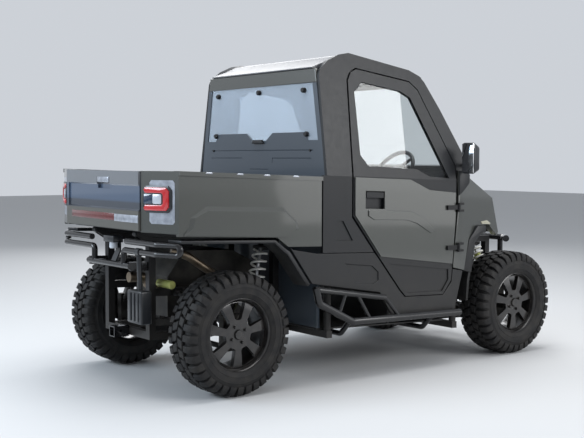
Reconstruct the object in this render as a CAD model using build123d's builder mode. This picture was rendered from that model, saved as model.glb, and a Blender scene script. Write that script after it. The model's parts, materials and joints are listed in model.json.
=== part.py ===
"""Side-by-side utility vehicle with a closed two-seat cab and a tipping cargo bed.

Frame: +X forward, +Y left, +Z up, millimetres. The origin is on the ground under
the middle of the vehicle's length and width. The body leans forward a little on
its springs, so side outlines are written level, in millimetres forward of the
rear axle and above the ground, and the function spot lays them on that lean.
"""
from build123d import *
from math import cos, radians, sin, tan
import os

# Axles and wheels
wheelbase = 2308
front_overhang = 420
rear_track = 1230
front_track = 1288
tyre_radius = 355
tyre_width = 250
rim_radius = 190
rim_width = 206
rim_face = 108
axle_height = tyre_radius
tyre_sides = 36
lug_count = 16
lug_rise = 19
lug_length = 52

# The body's lean towards the front
rake = 2.2
slope = tan(radians(rake))

# Heights of the level body, above the ground at the rear axle
sill = 401
door_foot = 525
bed_skirt = 851
bed_arch = 905
bed_floor = 960
bed_top = 1268
belt = 1276
cowl = 1381
header = 1838
eaves = 1925
roof_rise = 117
frame_low = 285
mid_rail = 540

# Lengths of the body, forward of the rear axle
bed_rear = -484
bed_corner = -394
bed_front = 600
cab_rear = 645
door_rear = 849
hinge_x = wheelbase - 556
cowl_x = hinge_x + 86
roof_front = hinge_x - 232
hood_tip = wheelbase - 113
nose_x = wheelbase - 25
rear_post = 700
front_post = hinge_x + 38

# Half widths of the body
bed_half = 720
tail_half = 450
door_half = 716
sill_half = 705
cab_half = 700
pane_half = 560
hood_half = 556
nose_half = 600
bar_half = 740
rail_half = 250
post_half = 640

# Walls, plates and tubes
bed_wall = 14
bed_skin = 40
door_wall = 46
panel_wall = 22
rail_wall = 50
roof_wall = 30
glass_wall = 6
floor_wall = 12
tube_frame = 44
tube_bar = 48
tube_cage = 46
arm_tube = 32
gap = 6
seat_gap = 0.3

# Moving parts
king_pin_y = 575
steer_arm = 110
king_pin = 10
pin_clear = 0.3
hitch_bore = 16

gate_proud = 14
rear_overhang = gate_proud - bed_rear
rear_axle_x = rear_overhang - (rear_overhang + wheelbase + front_overhang) / 2
front_axle_x = rear_axle_x + wheelbase


def spot(x, z):
    """A point of the level side view, as it lies in the vehicle's frame."""
    return (rear_axle_x + x, z - x * slope)


def side(*points):
    """A list of level side-view points in the vehicle's frame."""
    return [spot(x, z) for x, z in points]


def at(x, y, z):
    """A level point in space in the vehicle's frame."""
    across, up = spot(x, z)
    return (across, y, up)


def side_plane(y):
    """The side-view plane at a distance to the left; sketches on it face right."""
    return Plane.XZ.offset(-y)


def slab(points, y_right, y_left):
    """A flat side-view outline, made solid from one distance to another."""
    with BuildPart() as body:
        with BuildSketch(side_plane(y_left)):
            with BuildLine():
                Polyline(*points, close=True)
            make_face()
        extrude(amount=y_left - y_right)
    return body.part


def tube(points, diameter, bend):
    """A round tube along straight runs joined by tangent arcs."""
    with BuildPart() as body:
        with BuildLine() as path:
            if len(points) == 2:
                Line(*points)
            else:
                FilletPolyline(*points, radius=bend)
        with BuildSketch(Plane(origin=path.line @ 0, z_dir=path.line % 0)):
            Circle(diameter / 2)
        sweep(path=path.line)
    return body.part


def save(body, name):
    """Name a finished piece and write its file."""
    body.part.label = name
    export_step(body.part, f"parts/{name}.step")


os.makedirs("parts", exist_ok=True)

# Tyre: a carcass with shoulder lugs that wrap onto both sidewalls, and staggered middle blocks
tyre_bore = rim_radius
lug_side = 7
carcass_radius = tyre_radius - lug_rise
carcass_half = tyre_width / 2 - lug_side
lug_root = carcass_radius - 16
shoulder_lug = ((46, lug_root), (46, tyre_radius), (carcass_half - 22, tyre_radius - 3),
                (tyre_width / 2, tyre_radius - 40), (carcass_half - 10, tyre_radius - 76))
middle_block = ((-30, lug_root), (-30, tyre_radius), (30, tyre_radius), (30, lug_root))
pitch_angle = 360 / lug_count
with BuildPart() as tyre_shape:
    with BuildSketch(Plane.XZ):
        RegularPolygon(carcass_radius, lug_count, major_radius=False, rotation=-90 + pitch_angle / 2)
        RegularPolygon(tyre_bore, tyre_sides, major_radius=False, rotation=180 / tyre_sides, mode=Mode.SUBTRACT)
    extrude(amount=carcass_half, both=True)
    walls = tyre_shape.faces().filter_by(Axis.Y)
    outer = ShapeList([e for f in walls for e in f.outer_wire().edges()])
    chamfer(outer, 30)
    lugs = []
    for outline, turn, hands in ((shoulder_lug, 0, (1, -1)), (middle_block, pitch_angle / 2, (1,))):
        for hand in hands:
            with BuildPart(mode=Mode.PRIVATE) as lug:
                with BuildSketch(Plane.YZ.offset(-lug_length / 2)):
                    with BuildLine():
                        Polyline(*[(hand * across, -radius) for across, radius in outline], close=True)
                    make_face()
                extrude(amount=lug_length)
            lugs += [lug.part.rotate(Axis.Y, turn + step * pitch_angle) for step in range(lug_count)]
    add(lugs)

# Wheels: a tyre and a seven-spoke rim on each hub
for end, axle_x, track in (("rear", rear_axle_x, rear_track), ("front", front_axle_x, front_track)):
    for hand_name, hand in (("left", 1), ("right", -1)):
        centre = (axle_x, hand * track / 2, axle_height)
        outward = Plane(origin=centre, x_dir=(1, 0, 0), z_dir=(0, hand, 0))
        flat = 360 / tyre_sides / 2
        with BuildPart() as tyre:
            with Locations(centre):
                add(tyre_shape.part)
        save(tyre, f"tyre_{end}_{hand_name}")

        barrel_wall = 12
        with BuildPart() as rim:
            with BuildSketch(outward.offset(-rim_width / 2)):
                RegularPolygon(rim_radius, tyre_sides, major_radius=False, rotation=flat)
                RegularPolygon(rim_radius - barrel_wall, tyre_sides, major_radius=False, rotation=flat,
                               mode=Mode.SUBTRACT)
            extrude(amount=rim_width)
            with BuildSketch(outward.offset(rim_face - 50)):
                RegularPolygon(rim_radius - barrel_wall / 2, tyre_sides, major_radius=False, rotation=flat)
                with PolarLocations(112, 7, start_angle=12):
                    Trapezoid(96, 80, 72, rotation=90, mode=Mode.SUBTRACT)
            extrude(amount=26)
            with BuildSketch(outward.offset(rim_face - 50)):
                Circle(58)
            extrude(amount=40)
            with BuildSketch(outward.offset(rim_face - 10)):
                Circle(29)
            extrude(amount=8)
            with BuildSketch(outward.offset(rim_face - 10)):
                with PolarLocations(45, 4, start_angle=30):
                    RegularPolygon(10, 6)
            extrude(amount=6)
        save(rim, f"rim_{end}_{hand_name}")

# Rear hubs: a fixed upright and a drive shaft on each side
hub_y = rear_track / 2 + rim_face - 50
with BuildPart() as rear_hubs:
    with BuildSketch(Plane(origin=(rear_axle_x, hub_y - seat_gap, axle_height), x_dir=(1, 0, 0), z_dir=(0, -1, 0))):
        Circle(50)
    extrude(amount=40)
    with BuildSketch(Plane(origin=(rear_axle_x, hub_y - 41, axle_height), x_dir=(1, 0, 0), z_dir=(0, -1, 0))):
        Rectangle(110, 210)
    extrude(amount=50)
    with BuildSketch(Plane(origin=(rear_axle_x, hub_y - 91, axle_height), x_dir=(1, 0, 0), z_dir=(0, -1, 0))):
        Circle(17)
    extrude(amount=hub_y - 91 - 150)
    mirror(about=Plane.XZ)
save(rear_hubs, "rear_hubs")

# Front knuckles, which turn about their kingpins, with an arm for the tie rod
knuckle_tall = 200
rod_top = axle_height + 20
for hand_name, hand in (("left", 1), ("right", -1)):
    pin = Plane(origin=(front_axle_x, hand * king_pin_y, axle_height - knuckle_tall / 2))
    wheel_side = Plane(origin=(front_axle_x, hand * (king_pin_y + 20), axle_height), x_dir=(1, 0, 0),
                       z_dir=(0, hand, 0))
    stub = front_track / 2 + rim_face - 50 - king_pin_y - 20 - seat_gap
    with BuildPart() as knuckle:
        with BuildSketch(pin):
            Rectangle(100, 44)
        extrude(amount=knuckle_tall)
        with BuildSketch(wheel_side):
            Circle(50)
        extrude(amount=stub)
        with BuildSketch(Plane(origin=(front_axle_x, hand * king_pin_y, rod_top + seat_gap))):
            with Locations((-steer_arm / 2 - 20, 0)):
                Rectangle(steer_arm, 30)
        extrude(amount=14)
        with Locations((front_axle_x, hand * king_pin_y, axle_height)):
            Cylinder(king_pin, knuckle_tall + 24)
    save(knuckle, f"knuckle_{hand_name}")

# Steering rack with its two tie rods, which slide across the vehicle
rack_x = front_axle_x - steer_arm - 5
rack_radius = 11
with BuildPart() as rack:
    with BuildSketch(Plane.XZ.offset(king_pin_y + 14)):
        with Locations((rack_x, rod_top - rack_radius)):
            Circle(rack_radius)
    extrude(amount=-2 * (king_pin_y + 14))
save(rack, "steering_rack")

# The bed tips about two pins behind the frame
pivot_x = -400
pivot_z = 902
pivot_pin = 8
pivot_half = 20

# Main frame: two lower rails with cross tubes, and uprights at both ends
rail_front = wheelbase + 252
front_bay = cowl_x + 62
rail_rear = -330
front_arm_z = frame_low + 84
front_spread = 130
with BuildPart() as frame:
    for hand in (1, -1):
        add(slab(side((rail_rear, frame_low), (rail_front, frame_low),
                      (rail_front, frame_low + tube_frame), (rail_rear, frame_low + tube_frame)),
                 hand * rail_half - tube_frame / 2, hand * rail_half + tube_frame / 2))
        add(slab(side((rail_rear, frame_low + 10), (rail_rear + tube_frame, frame_low + 10),
                      (rail_rear + tube_frame, 880), (rail_rear, 880)),
                 hand * rail_half - tube_frame / 2, hand * rail_half + tube_frame / 2))
        add(slab(side((560, frame_low + 10), (560 + tube_frame, frame_low + 10),
                      (560 + tube_frame, 880), (560, 880)),
                 hand * rail_half - tube_frame / 2, hand * rail_half + tube_frame / 2))
        add(slab(side((rail_rear, 840), (560 + tube_frame, 840),
                      (560 + tube_frame, 884), (rail_rear, 884)),
                 hand * rail_half - tube_frame / 2, hand * rail_half + tube_frame / 2))
        add(slab(side((rail_front - 44, frame_low + 10), (rail_front, frame_low + 10),
                      (rail_front, 880), (rail_front - 44, 880)),
                 hand * rail_half - tube_frame / 2, hand * rail_half + tube_frame / 2))
        add(slab(side((front_bay, frame_low + 10), (front_bay + 44, frame_low + 10),
                      (front_bay + 44, 880), (front_bay, 880)),
                 hand * rail_half - tube_frame / 2, hand * rail_half + tube_frame / 2))
        add(slab(side((front_bay, 840), (rail_front, 840), (rail_front, 884), (front_bay, 884)),
                 hand * rail_half - tube_frame / 2, hand * rail_half + tube_frame / 2))
    for x in (rear_post, front_post):
        add(slab(side((x - tube_frame / 2, frame_low), (x + tube_frame / 2, frame_low),
                      (x + tube_frame / 2, frame_low + tube_frame), (x - tube_frame / 2, frame_low + tube_frame)),
                 -post_half - tube_frame / 2, post_half + tube_frame / 2))
    for low, first, last in ((mid_rail, rail_rear, 560), (mid_rail + 88, front_bay, rail_front - tube_frame)):
        for hand in (1, -1):
            add(slab(side((first, low), (last + tube_frame, low), (last + tube_frame, low + tube_frame),
                          (first, low + tube_frame)),
                     hand * rail_half - tube_frame / 2, hand * rail_half + tube_frame / 2))
    for x in (wheelbase - front_spread, wheelbase + front_spread):
        for hand in (1, -1):
            add(slab(side((x - 26, frame_low + 40), (x + 26, frame_low + 40), (x + 26, front_arm_z + 20),
                          (x - 26, front_arm_z + 20)),
                     hand * rail_half - tube_frame / 2, hand * rail_half + tube_frame / 2))
    for x in (rail_rear, 560, 1000, hinge_x - 252, front_bay, rail_front - tube_frame):
        add(slab(side((x, frame_low), (x + tube_frame, frame_low),
                      (x + tube_frame, frame_low + tube_frame), (x, frame_low + tube_frame)),
                 -rail_half, rail_half))
    for y in (rail_half, -rail_half):
        for edge in (y - pivot_half - 8.6, y + pivot_half + 0.6):
            add(slab(side((pivot_x - 10, pivot_z - 12), (pivot_x - 13, pivot_z), (pivot_x - 9, pivot_z + 9),
                          (pivot_x, pivot_z + 13), (pivot_x + 9, pivot_z + 9), (-320, 884), (-320, 842), (-330, 842)),
                     edge, edge + 8))
        with Locations(at(pivot_x, y, pivot_z)):
            Cylinder(pivot_pin, 2 * pivot_half + 17, rotation=(90, 0, 0))
save(frame, "frame")

# Suspension: each side has an upper and a lower arm of two legs with a bush at each inner end
# Columns: node, axle, inner height, block height, tube below block, inner front, inner rear, half spread
arm_table = (
    ("rear_arms", 0, frame_low + 22, 275, 0, 430, -150, 30),
    ("rear_arms", 0, mid_rail + 22, 430, 0, 300, -150, 30),
    ("front_arms", wheelbase, front_arm_z, 235, 7, front_spread, -front_spread, 25),
    ("front_arms", wheelbase, mid_rail + 110, 475, -7, 70, -70, 20),
)
upright_y = hub_y - 91
bush = 20
for node, outer_y in (("rear_arms", upright_y - seat_gap - 11), ("front_arms", king_pin_y)):
    with BuildPart() as arms:
        for name, axle, inner_z, outer_z, drop, ahead, behind, spread in arm_table:
            if name != node:
                continue
            bush_y = rail_half + tube_frame / 2 + seat_gap + bush
            for inner_x, outer_x in ((ahead, spread), (behind, -spread)):
                x_in, z_in = spot(axle + inner_x, inner_z)
                inner = (x_in, bush_y, z_in)
                outer = (rear_axle_x + axle + outer_x, outer_y - 8, outer_z - drop)
                add(tube((inner, outer), arm_tube, 0))
                add(tube(((x_in - 26, bush_y, z_in), (x_in + 26, bush_y, z_in)), 2 * bush, 0))
            with Locations((rear_axle_x + axle, outer_y, outer_z)):
                Box(2 * spread + arm_tube, 22 if node == "rear_arms" else 40, 2 * (20 - seat_gap))
                if node == "front_arms":
                    Cylinder(king_pin + pin_clear, 40, mode=Mode.SUBTRACT)
        mirror(about=Plane.XZ)
    save(arms, node)

# Coil-over dampers between an arm and the frame, with an eye at each end
eye = 18


def leg_at(row, leg, y):
    """A point of an arm's leg at a distance from the middle, and its slope across."""
    name, axle, inner_z, outer_z, drop, ahead, behind, spread = arm_table[row]
    inner_x, inner_up = spot(axle + (ahead if leg > 0 else behind), inner_z)
    bush_y = rail_half + tube_frame / 2 + seat_gap + bush
    end_y = (upright_y - seat_gap - 11 if name == "rear_arms" else king_pin_y) - 8
    part = (y - bush_y) / (end_y - bush_y)
    fall = (outer_z - drop - inner_up) / (end_y - bush_y)
    return inner_x + (rear_axle_x + axle + leg * spread - inner_x) * part, inner_up + fall * (y - bush_y), fall


# Columns: row of the arm, its leg, middle of the foot's eye (None for on that leg), half width, half length, head
damper_table = (
    (0, 1, None, 405, 22, 400),
    (3, -1, front_axle_x, 440, 60, wheelbase),
)
head_z = 862
coil_wire = 12
coil_radius = 36
coil_turns = 6
perch = 8
foot_end = 45
head_end = 40
springs = []
with BuildPart() as dampers:
    for row, leg, middle, low_y, reach, top_x in damper_table:
        leg_x, leg_z, fall = leg_at(row, leg, low_y)
        foot_x = middle or leg_x
        foot_z = leg_z + (arm_tube / 2 + eye + seat_gap) * (1 + fall * fall) ** 0.5
        foot = Vector(foot_x, low_y, foot_z)
        head = Vector(*at(top_x, 330, head_z))
        along = (head - foot).normalized()
        add(tube((tuple(foot), tuple(head)), 26, 0))
        low_perch = foot + along * foot_end
        high_perch = head - along * head_end
        coil_length = (high_perch - low_perch).length - 2 * perch - coil_wire - 2 * seat_gap
        for end_point, way in ((low_perch, 1), (high_perch, -1)):
            with BuildSketch(Plane(origin=end_point, z_dir=along * way)):
                Circle(coil_radius + coil_wire)
            extrude(amount=perch)
        with BuildSketch(Plane(origin=low_perch, z_dir=along)):
            Circle(coil_radius - coil_wire)
        extrude(amount=coil_length / 2)
        coil_foot = Plane(origin=low_perch + along * (perch + seat_gap + coil_wire / 2), z_dir=along)
        with BuildPart(mode=Mode.PRIVATE) as spring:
            with BuildLine(coil_foot) as coil:
                Helix(coil_length / coil_turns, coil_length, coil_radius)
            with BuildSketch(Plane(origin=coil.line @ 0, z_dir=coil.line % 0)):
                RegularPolygon(coil_wire / 2, 6)
            sweep(path=coil.line, is_frenet=True)
        springs.append(spring.part)
        add(tube(((foot_x - reach, low_y, foot_z), (foot_x + reach, low_y, foot_z)), 2 * eye, 0))
        add(tube((at(top_x, rail_half + tube_frame / 2 + seat_gap, head_z), at(top_x, 352, head_z)), 2 * eye, 0))
    add(springs)
    mirror(about=Plane.XZ)
save(dampers, "dampers")

# Drive: engine and gearbox as one closed block behind the seats, and the front case with its shafts
mount_half = rail_half - tube_frame / 2 - seat_gap
with BuildPart() as drive:
    add(slab(side((-160, 400), (520, 400), (520, 700), (300, 800), (-40, 800), (-160, 640)), -190, 190))
    add(slab(side((wheelbase - 78, 380), (wheelbase + 92, 380), (wheelbase + 92, 560), (wheelbase - 78, 560)), -110, 110))
    for x in (-100, 400):
        add(slab(side((x, mid_rail + 8), (x + 50, mid_rail + 8), (x + 50, mid_rail + 36), (x, mid_rail + 36)),
                 -mount_half, mount_half))
    add(slab(side((wheelbase - 28, frame_low + tube_frame + seat_gap), (wheelbase + 22, frame_low + tube_frame + seat_gap),
                  (wheelbase + 22, 392), (wheelbase - 28, 392)),
             -rail_half, rail_half))
    with Locations((front_axle_x, 0, axle_height)):
        Cylinder(17, 2 * (king_pin_y - 60), rotation=(90, 0, 0))
save(drive, "drive")

# Exhaust pipe, which leaves the engine behind the right wheel
with BuildPart() as exhaust:
    add(tube((at(-162, -120, 560), at(-250, -120, 560), at(-250, -120, 640), at(-380, -120, 640)), 60, 60))
save(exhaust, "exhaust")

# Cargo bed: tub, painted sides with their corner posts, tail lamps and tailgate
inner_half = bed_half - bed_skin
with BuildPart() as bed_tub:
    add(slab(side((bed_corner, bed_floor - 40), (bed_front - bed_wall, bed_floor - 40),
                  (bed_front - bed_wall, bed_top - 24), (bed_corner, bed_top - 24)),
             -inner_half, inner_half))
    add(slab(side((bed_corner + bed_wall, bed_floor), (bed_front - 2 * bed_wall, bed_floor),
                  (bed_front - 2 * bed_wall, bed_top), (bed_corner + bed_wall, bed_top)),
             -inner_half + bed_wall, inner_half - bed_wall), mode=Mode.SUBTRACT)
    add(slab(side((bed_corner - 10, bed_floor), (bed_corner + bed_wall + 1, bed_floor),
                  (bed_corner + bed_wall + 1, bed_top), (bed_corner - 10, bed_top)),
             -tail_half, tail_half), mode=Mode.SUBTRACT)
    add(slab(side((bed_rear + 44, bed_floor - 40), (bed_corner, bed_floor - 40), (bed_corner, bed_floor),
                  (bed_rear + 44, bed_floor)),
             -tail_half, tail_half))
    for y in (rail_half, -rail_half):
        add(slab(side((pivot_x, pivot_z - 17.2), (560, pivot_z - 17.2), (560, bed_floor - 39), (pivot_x, bed_floor - 39)),
                 y - pivot_half, y + pivot_half))
        with Locations(at(pivot_x, y, pivot_z)):
            Cylinder(17.2, 2 * pivot_half, rotation=(90, 0, 0))
            Cylinder(pivot_pin + 0.05, 2 * pivot_half, rotation=(90, 0, 0), mode=Mode.SUBTRACT)
save(bed_tub, "bed_tub")

# Painted bed sides with a raised flare over the wheel, and corner posts that carry the tailgate's pins
flare = 14
swage_low = bed_arch + 0.15 * (bed_top - bed_arch)
swage_middle = bed_arch + 0.3 * (bed_top - bed_arch)
swage_top = bed_arch + 0.48 * (bed_top - bed_arch)
gate_pin = 6
gate_x = bed_rear - gate_proud + 22.5
gate_z = 945
with BuildPart() as bed_sides:
    skin_y = -bed_half + flare
    add(slab(side((bed_corner, bed_arch + 7), (271, bed_arch), (351, bed_skirt), (bed_front, bed_skirt),
                  (bed_front, bed_top), (bed_corner, bed_top)),
             skin_y, -inner_half))
    add(slab(side((-363, bed_arch + 13), (-330, swage_low), (-319, swage_middle), (-215, swage_top), (314, swage_top),
                  (410, swage_middle - 14), (424, swage_low), (351, bed_arch + 4)),
             -bed_half, skin_y))
    add(slab(side((bed_corner, bed_top - 24), (bed_front, bed_top - 24), (bed_front, bed_top), (bed_corner, bed_top)),
             -bed_half, -inner_half + 24))
    with BuildSketch(Plane.XY.offset(bed_arch + 36)):
        with BuildLine():
            Polyline((rear_axle_x + bed_corner, -bed_half + flare), (rear_axle_x + bed_rear, -tail_half - gap),
                     (rear_axle_x + bed_corner, -tail_half - gap), close=True)
        make_face()
    extrude(amount=bed_top - bed_arch - 22)
    add(tube((at(gate_x, -tail_half - gap - 1, gate_z), at(gate_x, -tail_half + 16, gate_z)), 2 * gate_pin, 0))
    mirror(about=Plane.XZ)
save(bed_sides, "bed_sides")

gate_thick = 45
gate_low = 930
with BuildPart() as tailgate:
    add(slab(side((bed_rear - gate_proud, gate_low), (bed_rear - gate_proud + gate_thick, gate_low),
                  (bed_rear - gate_proud + gate_thick, bed_top - 6), (bed_rear - gate_proud, bed_top - 6)),
             -tail_half, tail_half))
    add(slab(side((bed_rear - gate_proud - 1, bed_top - 227), (bed_rear - gate_proud + 8, bed_top - 219),
                  (bed_rear - gate_proud + 8, bed_top - 90), (bed_rear - gate_proud - 1, bed_top - 82)),
             -tail_half - 1, tail_half - 30), mode=Mode.SUBTRACT)
    add(slab(side((bed_rear - gate_proud - 1, bed_top - 110), (bed_rear - gate_proud + 24, bed_top - 110),
                  (bed_rear - gate_proud + 24, bed_top - 44), (bed_rear - gate_proud - 1, bed_top - 44)),
             -110, 45), mode=Mode.SUBTRACT)
    add(slab(side((bed_rear - gate_proud, bed_top - 76), (bed_rear - gate_proud + 25, bed_top - 76),
                  (bed_rear - gate_proud + 25, bed_top - 48), (bed_rear - gate_proud, bed_top - 48)),
             -100, 35))
    for hand in (1, -1):
        add(tube((at(gate_x, hand * (tail_half + 1), gate_z), at(gate_x, hand * (tail_half - 18), gate_z)),
                 2 * gate_pin + 0.1, 0), mode=Mode.SUBTRACT)
save(tailgate, "tailgate")

# Cab cage: hoops of tube that the panels and glass are hung on
cage_low = frame_low + tube_frame + 1.2
lean_angle = 8.95
lean = tan(radians(lean_angle))
eaves_half = door_half - (eaves - belt) * lean - 8
cage_head = eaves_half - 55
pillar_top_x = hinge_x - 302
pillar_top_z = eaves - 28
cowl_seat = 20.3
screen_low_half = post_half + 15
screen_high_half = cage_head + 17
with BuildPart() as cage:
    for hand in (1, -1):
        foot_y = hand * post_half
        head_y = hand * cage_head
        add(tube((at(rear_post, foot_y, cage_low), at(rear_post, foot_y, 1215), at(rear_post + 20, head_y, eaves - 32),
                  at(pillar_top_x, head_y, pillar_top_z), at(front_post, foot_y, cowl - 36),
                  at(front_post, foot_y, cage_low)),
                 tube_cage, 50))
    for x, z in ((rear_post + 20, eaves - 32), (pillar_top_x, pillar_top_z)):
        add(tube((at(x, -cage_head, z), at(x, cage_head, z)), tube_cage, 0))
save(cage, "cab_cage")

# Floor of the cab with its firewall and the riser below the seats
floor_z = frame_low + tube_frame + 1
floor_half = 606
firewall_x = cowl_x + 12
with BuildPart() as floor_tub:
    add(slab(side((hinge_x - 52, floor_z), (hinge_x - 12, floor_z), (firewall_x, 560), (firewall_x, 1180),
                  (firewall_x - floor_wall, 1180),
                  (firewall_x - floor_wall, 566), (hinge_x - 18, floor_z + floor_wall),
                  (hinge_x - 52, floor_z + floor_wall)),
             -hood_half, hood_half))
    add(slab(side((640, floor_z), (hinge_x - 12, floor_z), (hinge_x - 18, floor_z + floor_wall), (1240, floor_z + floor_wall),
                  (1240, 680), (760, 680), (760, 1280), (760 - floor_wall, 1280), (760 - floor_wall, 680 - floor_wall),
                  (1240 - floor_wall, 680 - floor_wall), (1240 - floor_wall, floor_z + floor_wall),
                  (640, floor_z + floor_wall)),
             -floor_half, floor_half))
save(floor_tub, "floor_tub")

# Rear wall of the cab: moulded panel, clear pane and painted header


def half_at(z, edge):
    """Half width of the leaning cab wall at a level height, for an edge set in from it."""
    return edge - max(0, z - belt) * lean


wall_edge = door_half - (door_half - sill_half + panel_wall) / cos(radians(lean_angle)) - seat_gap
wall_x = rear_axle_x + cab_rear
rear_low = 640
pane_low = 1540
pane_dip = 1490


def rear_outline(low, high, edge):
    """The cab's rear outline between two level heights."""
    heights = sorted({low, max(low, min(high, belt)), high})
    right = [(-half_at(z, edge), spot(cab_rear, z)[1]) for z in heights]
    return right + [(-y, z) for y, z in reversed(right)]


def pane_outline(high, edge):
    """The pane's outline: it dips at both lower corners and at the latch in the middle."""
    right = [(0, pane_dip), (73, pane_dip), (145, pane_low), (484, pane_low), (510, pane_dip),
             (half_at(pane_dip, edge), pane_dip), (half_at(high, edge), high)]
    laid = [(y, spot(cab_rear, z)[1]) for y, z in right]
    return laid + [(-y, z) for y, z in reversed(laid[1:])]


groove = 4
with BuildPart() as rear_panel:
    with BuildSketch(Plane.YZ.offset(wall_x)):
        with BuildLine():
            Polyline(*rear_outline(rear_low, header, wall_edge), close=True)
        make_face()
        with BuildLine():
            Polyline(*pane_outline(header + 40, wall_edge - 40), close=True)
        make_face(mode=Mode.SUBTRACT)
    extrude(amount=panel_wall)
    add(slab(side((cab_rear, floor_z + floor_wall + seat_gap), (cab_rear + panel_wall, floor_z + floor_wall + seat_gap),
                  (cab_rear + panel_wall, rear_low + 2), (cab_rear, rear_low + 2)),
             -floor_half, floor_half))
    for first, last, low, high in ((195, 560, 1374, 1380), (-544, -142, 1374, 1380), (-148, -142, 1345, 1375),
                                   (-100, 100, 1302, 1308), (-560, 560, 1424, 1430)):
        add(slab(side((cab_rear - 1, low), (cab_rear + groove, low), (cab_rear + groove, high), (cab_rear - 1, high)),
                 first, last), mode=Mode.SUBTRACT)
save(rear_panel, "rear_panel")

with BuildPart() as rear_header:
    with BuildSketch(Plane.YZ.offset(wall_x)):
        with BuildLine():
            Polyline(*rear_outline(header, eaves - seat_gap - panel_wall * slope, wall_edge), close=True)
        make_face()
    extrude(amount=panel_wall)
save(rear_header, "rear_header")

with BuildPart() as rear_window:
    with BuildSketch(Plane.YZ.offset(wall_x + 6)):
        with BuildLine():
            Polyline(*pane_outline(header, wall_edge - 40), close=True)
        make_face()
    extrude(amount=glass_wall)
save(rear_window, "rear_window")

# Roof with a crowned top, set between the rails of the cab's sides
roof_top = eaves + roof_rise
rail_in = door_half - (door_half - sill_half + rail_wall) / cos(radians(lean_angle)) - seat_gap
roof_drop = 10
crown = side((cab_rear - 3, eaves), (roof_front, eaves), (roof_front - 15, eaves + 15), (roof_front - 110, roof_top - 70),
             (905, roof_top - roof_drop), (824, roof_top - 28), (735, roof_top - 72), (cab_rear - 3, eaves + 8))
with BuildPart() as roof:
    add(slab(crown, -rail_in, rail_in))
    with BuildSketch(Plane.YZ.offset(wall_x - 20)):
        with BuildLine():
            Polyline(*[(hand * half_at(z, rail_in), z - (cab_rear - 20) * slope)
                       for hand, z in ((1, eaves - 5), (1, roof_top + 5), (-1, roof_top + 5), (-1, eaves - 5))],
                     close=True)
        make_face()
    extrude(amount=roof_front - cab_rear + 60, dir=(cos(radians(rake)), 0, -sin(radians(rake))), mode=Mode.INTERSECT)
save(roof, "roof")

# Windscreen in front of the cage's pillars, from the cowl to the roof
pillar_low = Vector(*at(front_post, 0, cowl - 36))
pillar_high = Vector(*at(pillar_top_x, 0, pillar_top_z))
pillar_up = (pillar_high - pillar_low).normalized()
pillar_out = Vector(pillar_up.Z, 0, -pillar_up.X)
screen_plane = Plane(origin=pillar_low + pillar_out * (tube_cage / 2 + seat_gap), x_dir=(0, 1, 0), z_dir=pillar_out)
screen_low = cowl_seat + seat_gap
screen_high = (pillar_high - pillar_low).length + 14
with BuildPart() as windscreen:
    with BuildSketch(screen_plane):
        with BuildLine():
            Polyline((-screen_low_half, screen_low), (screen_low_half, screen_low), (screen_high_half, screen_high),
                     (-screen_high_half, screen_high), close=True)
        make_face()
    extrude(amount=glass_wall)
save(windscreen, "windscreen")

# The upper side walls lean in above the belt line
belt_x, belt_z = spot(door_rear, belt)
lean_plane = Plane(origin=(belt_x, -door_half, belt_z), x_dir=(cos(radians(rake)), 0, -sin(radians(rake))),
                   z_dir=(sin(radians(rake)) * sin(radians(lean_angle)), -cos(radians(lean_angle)),
                          cos(radians(rake)) * sin(radians(lean_angle))))


def lean_points(*points):
    """Level side-view points laid on the leaning plane of the right window."""
    laid = []
    for x, z in side(*points):
        along = (x - belt_x) * cos(radians(rake)) - (z - belt_z) * sin(radians(rake))
        rise = (x - belt_x) * sin(radians(rake)) + (z - belt_z) * cos(radians(rake))
        laid.append((along, rise / cos(radians(lean_angle))))
    return laid


def lean_slab(points, depth, wall, hole=None, grow=0):
    """A slab on the leaning plane, from a depth behind it, with an optional opening."""
    with BuildPart() as body:
        with BuildSketch(lean_plane.offset(-depth)):
            with BuildLine():
                Polyline(*lean_points(*points), close=True)
            make_face()
            if grow:
                offset(amount=grow, kind=Kind.INTERSECTION, mode=Mode.REPLACE)
            if hole:
                with BuildLine():
                    Polyline(*lean_points(*hole), close=True)
                make_face(mode=Mode.SUBTRACT)
        extrude(amount=-wall)
    return body.part


skin_wall = 8
# Side walls of the cab: quarter panels, and the leaning frame that runs over each door and down the pillar
seam = 5
quarter_in = sill_half - panel_wall
pillar_seam = hinge_x - 7
ring = ((door_rear, belt), (door_rear + 28, eaves - 56), (door_rear + 58, eaves - 4), (door_rear + 104, eaves + 19),
        (hinge_x - 354, eaves - 24), (hinge_x - 286, eaves - 70), (pillar_seam, 1375), (pillar_seam, belt))
rail = ((735, roof_top - 62), (824, roof_top - 18), (905, roof_top), (hinge_x - 340, roof_top - 61),
        (hinge_x - 252, roof_top - 92))
side_frame = ((cab_rear - 4, belt), (cab_rear + 8, eaves - 40), (664, eaves - 6), *rail, (hinge_x - 212, eaves - 10),
              (hinge_x - 91, eaves - 183), (hinge_x + 82, 1460), (hinge_x + 80, 1344), (pillar_seam - 5, 1344),
              (pillar_seam - 5, belt))
with BuildPart() as quarters:
    add(slab(side((cab_rear - 33, 811), (1020, 811), (door_rear - 2 * seam, 1025), (door_rear - 2 * seam, belt),
                  (cab_rear - 33, belt)),
             -sill_half, -quarter_in))
    add(slab(side((716, 1003), (771, 1004), (848, 884), (716, 882)), -sill_half - 1, -sill_half + 8), mode=Mode.SUBTRACT)
    add(lean_slab(side_frame, door_half - sill_half, panel_wall))
    add(lean_slab(((690, eaves + 14), *rail, (hinge_x - 232, eaves + 14)), door_half - sill_half, rail_wall))
    add(lean_slab(ring, 0, door_half - sill_half + rail_wall + 2, grow=2 * seam), mode=Mode.SUBTRACT)
    mirror(about=Plane.XZ)
save(quarters, "quarter_panels")

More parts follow.
